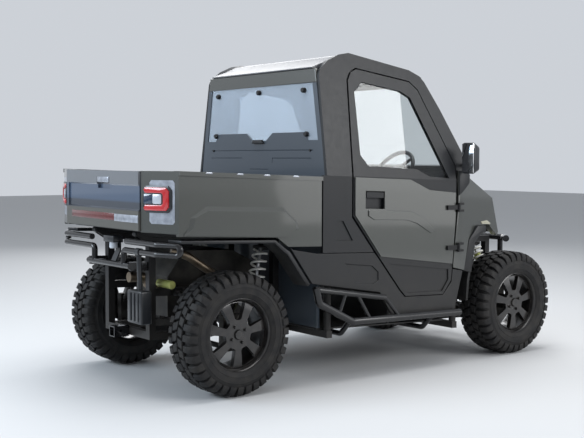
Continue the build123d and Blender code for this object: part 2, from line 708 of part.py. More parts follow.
# Doors: a lower shell with a leaning window ring, painted skin, glass and two outside hinges
ring_wall = 26
window = ((door_rear + 71, 1411), (door_rear + 129, 1346), (hinge_x - 360, 1341), (hinge_x - 249, 1296),
          (hinge_x - 72, 1290), (hinge_x - 357, eaves - 124), (hinge_x - 442, eaves - 87), (door_rear + 141, eaves - 57),
          (door_rear + 71, eaves - 125))
skin = ((door_rear + 8, belt - 4), (hinge_x - 430, belt - 4), (hinge_x - 259, 1209), (hinge_x - 15, 1197),
        (hinge_x - 15, 1040), (hinge_x - 42, 724), (1072, 782), (door_rear + 8, 1040))
handle = ((942, 1081), (1099, 1081), (1099, 1190), (942, 1190))
grip = ((950, 1150), (1091, 1150), (1091, 1184), (950, 1184))
lower_recess = ((1150, 735), (hinge_x - 75, 690), (hinge_x - 72, 622), (hinge_x - 130, 545), (1300, 545), (1172, 682))
with BuildPart() as door:
    add(slab(side((door_rear, belt + 2), (door_rear, 1035), (1068, 773), (1250, 565), (1294, door_foot),
                  (hinge_x - 122, door_foot), (hinge_x - 47, 615), (hinge_x - 9, 1040), (pillar_seam, belt + 2)),
             -door_half + skin_wall, -door_half + door_wall))
    add(slab(side(*lower_recess), -door_half, -door_half + skin_wall + 8), mode=Mode.SUBTRACT)
    add(slab(side(*handle), -door_half, -door_half + skin_wall + 20), mode=Mode.SUBTRACT)
    add(slab(side(*grip), -door_half + 2, -door_half + skin_wall + 21))
    add(lean_slab(ring, skin_wall, ring_wall, window))
door_right = door.part
save(door, "door_right")
with BuildPart() as door:
    mirror(door_right, about=Plane.XZ)
save(door, "door_left")

with BuildPart() as door_skin:
    add(slab(side(*skin), -door_half, -door_half + skin_wall))
    add(slab(side(*handle), -door_half - 1, -door_half + skin_wall + 1), mode=Mode.SUBTRACT)
skin_right = door_skin.part
save(door_skin, "door_skin_right")
with BuildPart() as door_skin:
    mirror(skin_right, about=Plane.XZ)
save(door_skin, "door_skin_left")

with BuildPart() as door_glass:
    add(lean_slab(window, skin_wall + 10, glass_wall))
glass_right = door_glass.part
save(door_glass, "door_glass_right")
with BuildPart() as door_glass:
    mirror(glass_right, about=Plane.XZ)
save(door_glass, "door_glass_left")

# Outside door hinges: leaf and knuckle on each door, and pin, knuckles and leaf on the body
hinge_y = door_half + 14
hinge_rise = 15
knuckle_radius = 10
pin_radius = 5
hinge_heights = [spot(hinge_x, z)[1] for z in (1100, 835)]
for hand_name, hand in (("right", -1), ("left", 1)):
    with BuildPart() as door_hinges:
        for z in hinge_heights:
            with Locations((rear_axle_x + hinge_x - 54, hand * (door_half + 7), z)):
                Box(96, 14, 2 * hinge_rise)
            with Locations((rear_axle_x + hinge_x, hand * hinge_y, z)):
                Cylinder(knuckle_radius, 2 * hinge_rise)
                Cylinder(pin_radius + pin_clear, 2 * hinge_rise, mode=Mode.SUBTRACT)
    save(door_hinges, f"door_hinges_{hand_name}")

with BuildPart() as body_hinges:
    for z in hinge_heights:
        with Locations((rear_axle_x + hinge_x, -hinge_y, z)):
            Cylinder(pin_radius, 4 * hinge_rise)
        for end in (1, -1):
            with Locations((rear_axle_x + hinge_x, -hinge_y, z + end * (1.5 * hinge_rise + 0.25))):
                Cylinder(knuckle_radius, hinge_rise - 0.5)
            with Locations((rear_axle_x + hinge_x + 27, -door_half - 7, z + end * (1.5 * hinge_rise + 0.25))):
                Box(42, 14, hinge_rise - 0.5)
    mirror(about=Plane.XZ)
save(body_hinges, "body_hinges")

# Front fenders, which taper in towards the nose
fender_out = door_half
fender_wall = 12
fender_in = hood_half + gap
taper_x = rear_axle_x + hinge_x + 48
fender_outline = ((hinge_x + 8, 1195), (hinge_x + 8, 1110), (hinge_x - 36, 724), (hinge_x - 34, 700),
                  (hinge_x + 75, 679), (wheelbase - 427, 881), (wheelbase - 340, 975), (wheelbase - 158, 985),
                  (wheelbase - 46, 905), (nose_x, 928), (hood_tip, 1193), (cowl_x + 62, 1290),
                  (cowl_x - 8, 1330), (hinge_x + 8, 1340))


def fender_block(inset):
    """The solid fender, with every outside face set in by the same amount."""
    with BuildPart() as block:
        with BuildSketch(side_plane(-fender_in)):
            with BuildLine():
                Polyline(*side(*fender_outline), close=True)
            make_face()
            if inset:
                offset(amount=-inset, kind=Kind.INTERSECTION, mode=Mode.REPLACE)
        extrude(amount=fender_out - fender_in - inset)
        with BuildSketch(Plane.XY.offset(500)):
            with BuildLine():
                Polyline((taper_x, -fender_out + inset), (rear_axle_x + nose_x + 5, -nose_half + inset),
                         (rear_axle_x + nose_x + 5, -fender_out - 1), (taper_x, -fender_out - 1), close=True)
            make_face()
        extrude(amount=1000, mode=Mode.SUBTRACT)
    return block.part


with BuildPart() as fenders:
    add(fender_block(0))
    add(fender_block(fender_wall), mode=Mode.SUBTRACT)
    add(slab(side((hinge_x - 60, 650), (hinge_x + 68, 650), (hinge_x + 70, 1360), (hinge_x, 1360), (hinge_x, 740)),
             -fender_out + fender_wall, -fender_in + 1), mode=Mode.SUBTRACT)
    mirror(about=Plane.XZ)
save(fenders, "fenders")

# Cowl below the windscreen, nose, and the hood that tips forward on the nose
hood_pin_x = wheelbase - 62
hood_pin_z = 1098
hood_knuckle = 7
ear_middle = 612.5
ear_half = 52.5
hood_pin = 3.5
with BuildPart() as cowl_top:
    add(slab(side((cowl_x, 1180.3), (cowl_x + 25, 1180.3), (cowl_x + 25, 1366), (cowl_x - 26, 1382.5),
                  (cowl_x - 42, 1372.5), (cowl_x, 1340)),
             seat_gap - fender_in, fender_in - seat_gap))
    for hand in (1, -1):
        add(slab(side((cowl_x - 26, 1382.5), (cowl_x - 38.5, 1374.6), (cowl_x - 25.5, 1353.5), (cowl_x - 23.5, 1332.8),
                      (cowl_x - 8, 1330.5), (cowl_x + 25, 1311.8), (cowl_x + 25, 1366)),
                 hand * ear_middle - ear_half, hand * ear_middle + ear_half))
save(cowl_top, "cowl")

with BuildPart() as hood:
    add(slab(side((cowl_x + 31, 1378), (hood_pin_x - 41, 1204), (hood_pin_x + 4, 1102), (hood_pin_x - 6, 1098),
                  (hood_pin_x - 49, 1196), (cowl_x + 31, 1366)),
             -hood_half, hood_half))
    for y in (300, -300):
        with Locations(at(hood_pin_x, y, hood_pin_z)):
            Cylinder(hood_knuckle, 60, rotation=(90, 0, 0))
            Cylinder(hood_pin + 0.05, 60, rotation=(90, 0, 0), mode=Mode.SUBTRACT)
        for end in (1, -1):
            with Locations(at(hood_pin_x, y + end * 39, hood_pin_z)):
                Cylinder(hood_knuckle + 1, 18, rotation=(90, 0, 0), mode=Mode.SUBTRACT)
save(hood, "hood")

with BuildPart() as nose:
    add(slab(side((hood_pin_x + 4, 1088), (hood_pin_x + 54, 960), (hood_pin_x + 42, 928), (hood_pin_x - 6, 928),
                  (hood_pin_x - 21, 1088)),
             seat_gap - fender_in, fender_in - seat_gap))
    for low in (968, 1000, 1032):
        add(slab(side((hood_pin_x - 26, low), (hood_pin_x + 64, low), (hood_pin_x + 64, low + 18), (hood_pin_x - 26, low + 18)),
                 -220, 220), mode=Mode.SUBTRACT)
    for y in (300, -300):
        for end in (1, -1):
            with Locations(at(hood_pin_x, y + end * 38, hood_pin_z)):
                Cylinder(hood_knuckle, 15, rotation=(90, 0, 0))
            with Locations(at(hood_pin_x - 6, y + end * 38, hood_pin_z - 7)):
                Box(12, 15, 12)
        with Locations(at(hood_pin_x, y, hood_pin_z)):
            Cylinder(hood_pin, 80, rotation=(90, 0, 0))
save(nose, "nose")

# Headlamps in the nose
with BuildPart() as headlamps:
    for hand in (1, -1):
        add(slab(side((hood_pin_x + 14, 1062.4), (hood_pin_x + 23.3, 1066), (hood_pin_x + 53.3, 989.2),
                      (hood_pin_x + 44, 985.6)), hand * 380 - 110, hand * 380 + 110))
save(headlamps, "headlamps")

# Front bumper of tube with uprights on the frame
front_x = wheelbase + front_overhang - tube_bar / 2
with BuildPart() as front_bumper:
    for z, half, back in ((870, 420, 130), (640, 400, 46)):
        add(tube((at(front_x - back, -half, z), at(front_x, -half + 130, z), at(front_x, half - 130, z),
                  at(front_x - back, half, z)), tube_bar, 60))
    for hand in (1, -1):
        add(tube((at(front_x, hand * rail_half, 350), at(front_x, hand * rail_half, 870)), tube_bar - 8, 0))
        add(slab(side((rail_front + seat_gap, 600), (front_x, 600), (front_x, 670), (rail_front + seat_gap, 670)),
                 hand * rail_half - 10, hand * rail_half + 10))
save(front_bumper, "front_bumper")

# Rear bumper: two loops of tube below the bed's corners, on a cross tube from the frame
back_x = -445
loop_tube = 36
loop_high = min(bed_arch, gate_low - 25) - 45
loop_low = loop_high - 54
hitch_tube = 64
hitch_z = frame_low + 22
with BuildPart() as rear_bumper:
    for hand in (1, -1):
        add(tube((at(back_x, hand * 215, loop_high), at(back_x, hand * 560, loop_high), at(-375, hand * 690, loop_high),
                  at(-375, hand * 690, loop_low), at(back_x, hand * 560, loop_low), at(back_x, hand * 183, loop_low),
                  at(back_x, hand * 183, 716)), loop_tube, 22))
        add(slab(side((back_x, 690), (rail_rear - seat_gap, 690), (rail_rear - seat_gap, 740), (back_x, 740)),
                 hand * rail_half - 10, hand * rail_half + 10))
    add(tube((at(back_x, -rail_half - 10, 716), at(back_x, rail_half + 10, 716)), loop_tube, 0))
    x_back, z_back = spot(-430, hitch_z)
    with BuildSketch(Plane(origin=(x_back, 0, z_back), x_dir=(0, 1, 0), z_dir=(1, 0, 0))):
        Rectangle(hitch_tube, hitch_tube)
        Rectangle(hitch_tube - 13, hitch_tube - 13, mode=Mode.SUBTRACT)
    extrude(amount=430 + rail_rear - seat_gap)
    with Locations((x_back + 45, 0, z_back)):
        Cylinder(hitch_bore / 2, hitch_tube + 20, rotation=(90, 0, 0), mode=Mode.SUBTRACT)
save(rear_bumper, "rear_bumper")

# Side step bars on brackets from the frame
with BuildPart() as bars:
    add(tube((at(532, -bar_half, 606), at(556, -bar_half, 512), at(816, -bar_half, 392), at(hinge_x + 2, -bar_half, 405)),
             tube_bar, 40))
    add(tube((at(520, -bar_half, 596), at(1085, -bar_half, 528)), tube_bar - 12, 0))
    for top_x, top_z, foot_x, foot_z in ((758, 560, 711, 445), (855, 555, 960, 400), (1080, 535, 1210, 400)):
        add(tube((at(top_x, -bar_half, top_z), at(foot_x, -bar_half, foot_z)), 26, 0))
    for x in (rear_post + 100, hinge_x - 252):
        add(tube((at(x, -rail_half - tube_frame / 2 - seat_gap, 306), at(x, -650, 306), at(x, -bar_half, 398)), 34, 40))
    mirror(about=Plane.XZ)
save(bars, "step_bars")

# Sill cladding below the doors
with BuildPart() as sills:
    add(slab(side((366, bed_skirt - gap), (532, 626), (1075, 556), (1182, sill), (hinge_x - 12, sill), (hinge_x + 11, 479),
                  (hinge_x + 67, 676), (hinge_x - 30, 690), (hinge_x - 38, 604), (hinge_x - 118, door_foot - seam),
                  (1290, door_foot - seam), (1244, 560), (1060, 770), (1025, 807), (570, min(807, bed_skirt - 44)),
                  (389, bed_skirt - 19)),
             -sill_half, -sill_half + panel_wall))
    add(slab(side((789, 741), (1009, 724), (1060, 685), (1061, 635), (1019, 611), (870, 622)),
             -sill_half - 1, -sill_half + 8), mode=Mode.SUBTRACT)
    for x, z in ((rear_post, 700), (front_post - 8, 600)):
        add(slab(side((x - 12, z), (x + 12, z), (x + 12, z + 50), (x - 12, z + 50)),
                 -sill_half + panel_wall - 1, -post_half - tube_cage / 2 - seat_gap))
    mirror(about=Plane.XZ)
save(sills, "sill_panels")

# Cab interior: dash, seats, steering wheel
dash_half = hood_half - gap
dash_front = cowl_x - seat_gap
wheel_y = -330
wheel_tilt = 35
hub = at(hinge_x - 227, wheel_y, 1320)
axis = Vector(-cos(radians(wheel_tilt)), 0, sin(radians(wheel_tilt)))
with BuildPart() as dash:
    add(slab(side((hinge_x - 192, 1240), (hinge_x - 112, 1300), (dash_front, 1300), (dash_front, 1150), (hinge_x - 52, 1060),
                  (hinge_x - 152, 1060)),
             -dash_half, dash_half))
    add(tube((tuple(Vector(*hub) - axis * 6.3), tuple(Vector(*hub) - axis * 140)), 46, 0))
save(dash, "dash")

with BuildPart() as seats:
    for hand in (1, -1):
        add(slab(side((800, 680.6), (1270, 680.6), (1290, 780), (1270, 820), (800, 790)), hand * 330 - 240,
                 hand * 330 + 240))
        add(slab(side((760.3, 780), (900, 786), (830, 1330), (790, 1500), (760.3, 1500)),
                 hand * 330 - 230, hand * 330 + 230))
save(seats, "seats")

rim_plane = Plane(origin=hub, x_dir=(0, 1, 0), z_dir=axis)
with BuildPart() as steering_wheel:
    with BuildSketch(rim_plane.offset(-8)):
        Circle(178)
        Circle(158, mode=Mode.SUBTRACT)
    extrude(amount=16)
    with BuildSketch(rim_plane.offset(-6)):
        Circle(40)
        for turn in (0, 180, 270):
            with Locations((100 * cos(radians(turn)), 100 * sin(radians(turn)))):
                Rectangle(130, 28, rotation=turn)
    extrude(amount=12)
save(steering_wheel, "steering_wheel")

# Mirrors on arms from the feet of the front pillars
with BuildPart() as mirrors:
    x_mirror, z_mirror = spot(hinge_x + 70, 1425)
    with Locations((x_mirror, -800, z_mirror)):
        Box(44, 150, 220)
    add(slab(side((cowl_x, 1325.8), (cowl_x + 28, 1309.8), (cowl_x + 28, 1340), (cowl_x, 1340)), -703, -676))
    add(tube((at(cowl_x + 14, -690, 1328), at(cowl_x + 12, -690, 1374), at(cowl_x - 8, -740, 1400)), 24, 18))
    mirror(about=Plane.XZ)
save(mirrors, "mirrors")

# Tail lamps on the corner posts of the bed
with BuildPart() as lamps:
    corner = Vector(rear_axle_x + bed_rear, -tail_half - gap, 0)
    edge = Vector(rear_axle_x + bed_corner, -bed_half + flare, 0)
    run = (edge - corner).normalized()
    face_out = Vector(run.Y, -run.X, 0)
    face_out = face_out if face_out.X < 0 else face_out * -1
    middle = corner + (edge - corner) * 0.5 + Vector(0, 0, 1150)
    with BuildSketch(Plane(origin=middle, x_dir=run, z_dir=face_out)):
        Rectangle(186, 138)
    extrude(amount=6)
    with BuildSketch(Plane(origin=middle, x_dir=run, z_dir=face_out)):
        Rectangle(158, 114)
        with Locations((-24, 0)):
            Rectangle(112, 64, mode=Mode.SUBTRACT)
        with Locations((-18, 0)):
            Rectangle(92, 44)
    extrude(amount=14)
    mirror(about=Plane.XZ)
save(lamps, "tail_lamps")
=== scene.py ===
# %% [markdown]
# # A side-by-side utility vehicle
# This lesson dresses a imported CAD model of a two-seat utility vehicle. The CAD model gives every
# place and size, and the cells below give rounded edges, tread, springs, lamps and finishes.

# %% Load the frame
import bpy
import bmesh
import json
from math import cos, pi, radians, sin, tan
from mathutils import Matrix, Vector

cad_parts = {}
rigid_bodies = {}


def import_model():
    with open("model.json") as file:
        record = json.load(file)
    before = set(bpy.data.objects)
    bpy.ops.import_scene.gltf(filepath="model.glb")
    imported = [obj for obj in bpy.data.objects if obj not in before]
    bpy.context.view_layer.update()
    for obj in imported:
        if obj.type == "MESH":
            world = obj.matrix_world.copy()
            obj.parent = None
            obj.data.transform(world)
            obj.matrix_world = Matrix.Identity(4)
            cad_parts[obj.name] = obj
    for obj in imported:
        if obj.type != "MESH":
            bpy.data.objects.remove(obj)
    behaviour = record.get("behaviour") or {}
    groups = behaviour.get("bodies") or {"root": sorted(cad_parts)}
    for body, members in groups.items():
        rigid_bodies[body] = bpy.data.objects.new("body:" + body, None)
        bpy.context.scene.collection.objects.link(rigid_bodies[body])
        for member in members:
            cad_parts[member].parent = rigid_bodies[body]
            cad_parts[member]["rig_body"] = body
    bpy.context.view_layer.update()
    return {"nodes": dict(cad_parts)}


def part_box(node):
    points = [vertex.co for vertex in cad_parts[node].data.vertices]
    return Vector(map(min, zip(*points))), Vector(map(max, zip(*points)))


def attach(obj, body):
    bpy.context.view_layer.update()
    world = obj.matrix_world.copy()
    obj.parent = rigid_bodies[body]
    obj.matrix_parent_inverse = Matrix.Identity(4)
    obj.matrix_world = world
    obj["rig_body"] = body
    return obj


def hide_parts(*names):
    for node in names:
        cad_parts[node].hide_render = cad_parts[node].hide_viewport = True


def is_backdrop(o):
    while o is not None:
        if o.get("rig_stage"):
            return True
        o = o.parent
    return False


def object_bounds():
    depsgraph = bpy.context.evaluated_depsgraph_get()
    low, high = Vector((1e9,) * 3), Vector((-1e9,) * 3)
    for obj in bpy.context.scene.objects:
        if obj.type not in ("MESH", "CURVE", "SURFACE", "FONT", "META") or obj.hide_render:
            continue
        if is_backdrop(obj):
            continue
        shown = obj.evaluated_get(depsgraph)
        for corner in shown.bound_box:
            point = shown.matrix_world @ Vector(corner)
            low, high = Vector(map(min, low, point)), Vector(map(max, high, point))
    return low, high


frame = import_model()

# %% [markdown]
# ## Where things are
# The body leans forward a little on its springs. Side-view places are written level, in metres
# forward of the rear axle and above the ground, and laid on that lean by one helper. The lean is
# the same value that the CAD model uses.

# %% Places
slope = tan(radians(2.2))


def centre_of(node):
    low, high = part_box(node)
    return (low + high) / 2


rear_x = centre_of("tyre_rear_right").x
front_x = centre_of("tyre_front_right").x
rear_y = -centre_of("tyre_rear_right").y
front_y = -centre_of("tyre_front_right").y
axle_z = centre_of("tyre_rear_right").z


def at(x, y, z):
    """A level point, laid on the body's lean."""
    return Vector((rear_x + x, y, z - x * slope))


print("rear axle at x", round(rear_x, 3), "front axle at x", round(front_x, 3))

# %% [markdown]
# ## The camera
# The photograph was taken from behind and to the right, a little below the roof, with a long lens.
# The camera stands at the place from which all four wheels fall where the photograph shows them.

# %% Camera
photo_wide = 584
focal_px = 1050.1
camera_data = bpy.data.cameras.new("camera")
camera_data.sensor_width = 36
camera_data.lens = 36 * focal_px / photo_wide
camera = bpy.data.objects.new("camera", camera_data)
bpy.context.scene.collection.objects.link(camera)
bpy.context.scene.camera = camera
camera_place = (rear_x - 3.3488, -5.5697, 1.352)
yaw, pitch, roll = radians(52.55), radians(-3.295), radians(0.157)
sight = Vector((cos(yaw) * cos(pitch), sin(yaw) * cos(pitch), sin(pitch)))
level_right = Vector((sin(yaw), -cos(yaw), 0))
level_up = level_right.cross(sight)
right = level_right * cos(roll) + level_up * sin(roll)
up = level_up * cos(roll) - level_right * sin(roll)
turn = Matrix((right, up, -sight)).transposed().to_4x4()
camera.matrix_world = Matrix.Translation(camera_place) @ turn
print("lens", round(camera_data.lens, 1), "mm")

# %% [markdown]
# ## Floor, backdrop and light
# A wide pale floor meets a pale grey world at the horizon, as a studio's backdrop would.

# %% Floor
def mesh_of(name, shape):
    """Turns a bmesh into a mesh and frees it."""
    mesh = bpy.data.meshes.new(name)
    shape.to_mesh(mesh)
    shape.free()
    return mesh


def new_node(made, kind, values):
    """A new node in a material or world, with plain values on its sockets."""
    node = made.node_tree.nodes.new("ShaderNode" + kind)
    for socket, value in values.items():
        node.inputs[socket].default_value = value
    return node


floor_finish = bpy.data.materials.new("pale_floor")
floor_finish.use_nodes = True
shader = floor_finish.node_tree.nodes["Principled BSDF"]
shader.inputs["Base Color"].default_value = (0.62, 0.63, 0.64, 1)
shader.inputs["Roughness"].default_value = 0.75
shader.inputs["Specular IOR Level"].default_value = 0.2
floor_shape = bmesh.new()
bmesh.ops.create_grid(floor_shape, x_segments=1, y_segments=1, size=30)
floor = bpy.data.objects.new("floor", mesh_of("floor", floor_shape))
floor.data.materials.append(floor_finish)
bpy.context.scene.collection.objects.link(floor)
floor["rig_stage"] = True
print("floor", [round(side) for side in floor.dimensions[:2]], "m")

# %% [markdown]
# The world lights the object softly from all round. What the camera sees of it, straight, in a
# gloss or through glass, is brighter than the light that it casts, so the backdrop is pale and
# the object isn't washed out. The Light Path node tells these rays apart.

# %% World
light_strength, backdrop_strength = 0.48, 0.74
world = bpy.data.worlds.new("studio")
world.use_nodes = True
links = world.node_tree.links
sky = world.node_tree.nodes["Background"]
sky.inputs["Color"].default_value = (0.82, 0.86, 0.92, 1)
rays = new_node(world, "LightPath", {}).outputs
seen = rays["Is Camera Ray"]
for kind in ("Is Glossy Ray", "Is Transmission Ray"):
    either = new_node(world, "Math", {})
    either.operation = "MAXIMUM"
    links.new(seen, either.inputs[0])
    links.new(rays[kind], either.inputs[1])
    seen = either.outputs["Value"]
strength = new_node(world, "MapRange", {"To Min": light_strength, "To Max": backdrop_strength})
links.new(seen, strength.inputs["Value"])
links.new(strength.outputs["Result"], sky.inputs["Strength"])
bpy.context.scene.world = world
bpy.context.scene.view_settings.view_transform = "Standard"
print("backdrop strength", backdrop_strength)

# %% [markdown]
# Large soft lamps stand above, behind and at the side, as in a studio, so that the dark paint and
# the glossy tubes show long soft highlights. The one behind is a little blue, like the sky.

# %% Lamps
def soft_lamp(name, place, target, wide, tall, power, tint=(1, 1, 1)):
    data = bpy.data.lights.new(name, "AREA")
    data.shape = "RECTANGLE"
    data.size = wide
    data.size_y = tall
    data.energy = power
    data.color = tint
    lamp = bpy.data.objects.new(name, data)
    bpy.context.scene.collection.objects.link(lamp)
    aim = Vector(target) - Vector(place)
    facing = aim.to_track_quat("-Z", "Y").to_matrix().to_4x4()
    lamp.matrix_world = Matrix.Translation(place) @ facing


soft_lamp("top_lamp", (0, 0, 6), (0, 0, 1), 6, 4, 330)
soft_lamp("rear_lamp", (-6.5, 2.2, 3.4), (-1, 0, 1), 4.5, 2.2, 300, (0.78, 0.89, 1.0))
soft_lamp("side_lamp", (3.0, -6.6, 3.6), (0, -0.7, 1), 5, 2.0, 230)
soft_lamp("far_lamp", (4, 7, 4), (0, 0, 1), 5, 3, 150)
soft_lamp("strip_lamp", (6.0, -6.5, 1.6), (0.4, -0.7, 0.9), 4.0, 2.4, 42)
print(len(bpy.data.lights), "lamps")

# %% [markdown]
# ## Finishes
# Each finish is a Principled shader with a little variation from a noise pattern: patches of
# colour, a fine raised grain, or a gloss that wanders as on a surface that hands have touched.

# %% Finish helpers
def finish(name, colour, roughness, metallic=0.0, coat=0.0, coat_roughness=0.05, specular=0.5):
    """A Principled material whose sockets hold the plain values."""
    made = bpy.data.materials.new(name)
    made.use_nodes = True
    shader = made.node_tree.nodes["Principled BSDF"]
    shader.inputs["Base Color"].default_value = (*colour, 1)
    shader.inputs["Roughness"].default_value = roughness
    shader.inputs["Metallic"].default_value = metallic
    shader.inputs["Specular IOR Level"].default_value = specular
    shader.inputs["Coat Weight"].default_value = coat
    shader.inputs["Coat Roughness"].default_value = coat_roughness
    return made


def from_place(made, node):
    """Feeds a node with Object coordinates."""
    place = new_node(made, "TexCoord", {}).outputs["Object"]
    made.node_tree.links.new(place, node.inputs["Vector"])
    return node.outputs


def noise_of(made, scale, detail):
    return from_place(made, new_node(made, "TexNoise", {"Scale": scale, "Detail": detail}))["Fac"]


def height_of(made):
    return from_place(made, new_node(made, "SeparateXYZ", {}))["Z"]


def to_shader(made, value, socket):
    made.node_tree.links.new(value, made.node_tree.nodes["Principled BSDF"].inputs[socket])


def product_of(made, value, factor):
    """A value times a number or times another value."""
    times = new_node(made, "Math", {})
    times.operation = "MULTIPLY"
    made.node_tree.links.new(value, times.inputs[0])
    if isinstance(factor, float):
        times.inputs[1].default_value = factor
    else:
        made.node_tree.links.new(factor, times.inputs[1])
    return times.outputs["Value"]


def spread_of(made, value, values):
    """A value stretched from one range to another."""
    spread = new_node(made, "MapRange", values)
    made.node_tree.links.new(value, spread.inputs["Value"])
    return spread.outputs["Result"]


def ramp_to_colour(made, value, stops):
    """Colours along a value, each stop as (position, colour)."""
    ramp = new_node(made, "ValToRGB", {})
    marks = ramp.color_ramp.elements
    marks[0].position, marks[1].position = stops[0][0], stops[-1][0]
    for place, _ in stops[1:-1]:
        marks.new(place)
    for mark, (_, colour) in zip(marks, stops):
        mark.color = (*colour, 1)
    made.node_tree.links.new(value, ramp.inputs["Fac"])
    to_shader(made, ramp.outputs["Color"], "Base Color")


print("node helpers ready")

# %% Wear helpers
def dusty(made, colour_clean, colour_dust, top, bottom):
    """Clean above one height, dusty below another, with a ragged edge."""
    low_down = spread_of(made, height_of(made), {"From Min": bottom, "From Max": top, "To Min": 0.75,
                                                 "To Max": 0.0})
    ragged = product_of(made, low_down, noise_of(made, 9, 6))
    ramp_to_colour(made, ragged, [(0.0, colour_clean), (0.6, colour_dust)])


def bands_of(made, soft, *bands):
    """Colours in bands of height, each band as (top of the band, colour)."""
    halved = product_of(made, height_of(made), 0.5)
    stops = [(0.0, bands[0][1])]
    for (top, colour), (_, above) in zip(bands, bands[1:]):
        stops += [(top / 2 - soft, colour), (top / 2, above)]
    ramp_to_colour(made, halved, stops + [(1.0, bands[-1][1])])


def mottled(made, scale, detail, low, high, colour_low, colour_high):
    """Patches of two colours, as dust and heat leave them."""
    ramp_to_colour(made, noise_of(made, scale, detail), [(low, colour_low), (high, colour_high)])


def grained(made, scale, detail, strength, distance=0.001):
    """A fine raised grain."""
    bump = new_node(made, "Bump", {"Strength": strength, "Distance": distance})
    made.node_tree.links.new(noise_of(made, scale, detail), bump.inputs["Height"])
    to_shader(made, bump.outputs["Normal"], "Normal")


def handled(made, scale, detail, low, high):
    """A gloss that wanders between two roughnesses."""
    worn = spread_of(made, noise_of(made, scale, detail), {"To Min": low, "To Max": high})
    to_shader(made, worn, "Roughness")


def see_through(made, weight, ior):
    shader = made.node_tree.nodes["Principled BSDF"]
    shader.inputs["Transmission Weight"].default_value = weight
    shader.inputs["IOR"].default_value = ior


print("wear helpers ready")

# %% [markdown]
# The body's paint is an olive grey with fine flakes under a clear coat. The tailgate is creased,
# and each of its bands has a painted reflection of another part of the sky as its colour, by height.

# %% Paint
paint = finish("olive_grey_paint", (0.085, 0.088, 0.080), 0.3, 0.25, 1.0, 0.06)
mottled(paint, 1400, 1, 0.35, 0.7, (0.050, 0.053, 0.048), (0.080, 0.084, 0.076))
grained(paint, 60, 2, 0.03)

gate_reflection_painted = finish("tailgate_reflection_painted", (0.085, 0.088, 0.080), 0.3, 0.25, 0.9, 0.04)
grained(gate_reflection_painted, 60, 2, 0.03)
crease_width = 0.0015
# Painted reflections by height: a pale lower band, a dark band, a blue recess and a pale top band.
bands_of(gate_reflection_painted, crease_width, (1.062, (0.105, 0.104, 0.092)), (1.110, (0.050, 0.060, 0.078)),
         (1.204, (0.072, 0.108, 0.170)), (2.0, (0.165, 0.178, 0.195)))
print("paint ready")

# %% [markdown]
# The black parts differ by what they are made of: mouldings are dusty low down and finely grained,
# tubes have a glossy powder coat, the chassis is satin, and rubber is dull with brown dust. The rear
# wall's plastic is lighter and bluer than the rest, with painted light from the blue lamp behind.

# %% Plastics, coats and rubber
plastic = finish("moulded_black_plastic", (0.022, 0.023, 0.025), 0.5, specular=0.38)
dusty(plastic, (0.011, 0.012, 0.014), (0.030, 0.028, 0.026), 0.9, 0.3)
grained(plastic, 900, 2, 0.18, 0.0006)
handled(plastic, 30, 3, 0.34, 0.50)

smooth_plastic = finish("smooth_black_plastic", (0.018, 0.020, 0.023), 0.3, 0, 0.25, 0.1, 0.35)
grained(smooth_plastic, 400, 2, 0.05, 0.0005)

roof_black = finish("roof_skin", (0.090, 0.094, 0.104), 0.4, 0, 0.35, 0.2)
handled(roof_black, 14, 4, 0.34, 0.46)

tube_black = finish("gloss_tube_coat", (0.006, 0.006, 0.007), 0.24, 0, 0.55, 0.03, 0.3)
grained(tube_black, 250, 2, 0.06, 0.0005)

chassis_black = finish("satin_chassis_coat", (0.012, 0.012, 0.013), 0.42, 0, 0.1, 0.2, 0.25)
dusty(chassis_black, (0.011, 0.011, 0.012), (0.036, 0.032, 0.027), 0.7, 0.1)

rubber = finish("tyre_rubber", (0.022, 0.022, 0.023), 0.66, specular=0.3)
mottled(rubber, 18, 6, 0.35, 0.75, (0.009, 0.009, 0.010), (0.026, 0.024, 0.022))
grained(rubber, 500, 3, 0.15, 0.0006)

seal_rubber = finish("seal_rubber", (0.006, 0.006, 0.007), 0.6)
grained(seal_rubber, 600, 2, 0.1, 0.0004)

vinyl = finish("seat_vinyl", (0.022, 0.022, 0.024), 0.5)
grained(vinyl, 450, 4, 0.35, 0.0008)

wheel_black = finish("satin_wheel_black", (0.016, 0.015, 0.015), 0.3, 0.2, 0.45, 0.12)
mottled(wheel_black, 25, 5, 0.4, 0.8, (0.012, 0.011, 0.011), (0.034, 0.030, 0.027))

# Black plastic lightened and tinted blue: painted light on the rear-facing wall from the blue lamp behind.
wall_painted_light_plastic = finish("rear_wall_painted_light_plastic", (0.050, 0.064, 0.082), 0.34, 0, 0.3, 0.1)
grained(wall_painted_light_plastic, 500, 2, 0.06, 0.0004)
print("black parts ready")

# %% [markdown]
# Cast metal is mottled, the springs are white with gold damper bodies, and the exhaust is brown
# where heat has stained it. The cab's glass is clear, and the rear pane's pale blue colour is a
# painted reflection of the bright sky.

# %% Metals and glass
cast_grey = finish("cast_grey", (0.20, 0.20, 0.20), 0.55, 0.7)
mottled(cast_grey, 9, 6, 0.3, 0.7, (0.028, 0.027, 0.026), (0.075, 0.070, 0.062))
grained(cast_grey, 300, 3, 0.12, 0.0006)

steel = finish("bright_steel", (0.45, 0.45, 0.46), 0.28, 1.0)
handled(steel, 80, 3, 0.2, 0.4)

spring_white = finish("spring_white", (0.82, 0.81, 0.76), 0.35, 0, 0.5, 0.1)
handled(spring_white, 60, 3, 0.3, 0.5)

damper_gold = finish("damper_body", (0.36, 0.38, 0.12), 0.35, 0.3)
handled(damper_gold, 60, 3, 0.28, 0.45)

pipe_steel = finish("heated_steel", (0.30, 0.24, 0.17), 0.38, 0.9)
mottled(pipe_steel, 12, 5, 0.3, 0.75, (0.10, 0.075, 0.055), (0.27, 0.22, 0.16))

glass = finish("clear_glass", (0.86, 0.89, 0.89), 0.0)
see_through(glass, 1.0, 1.35)

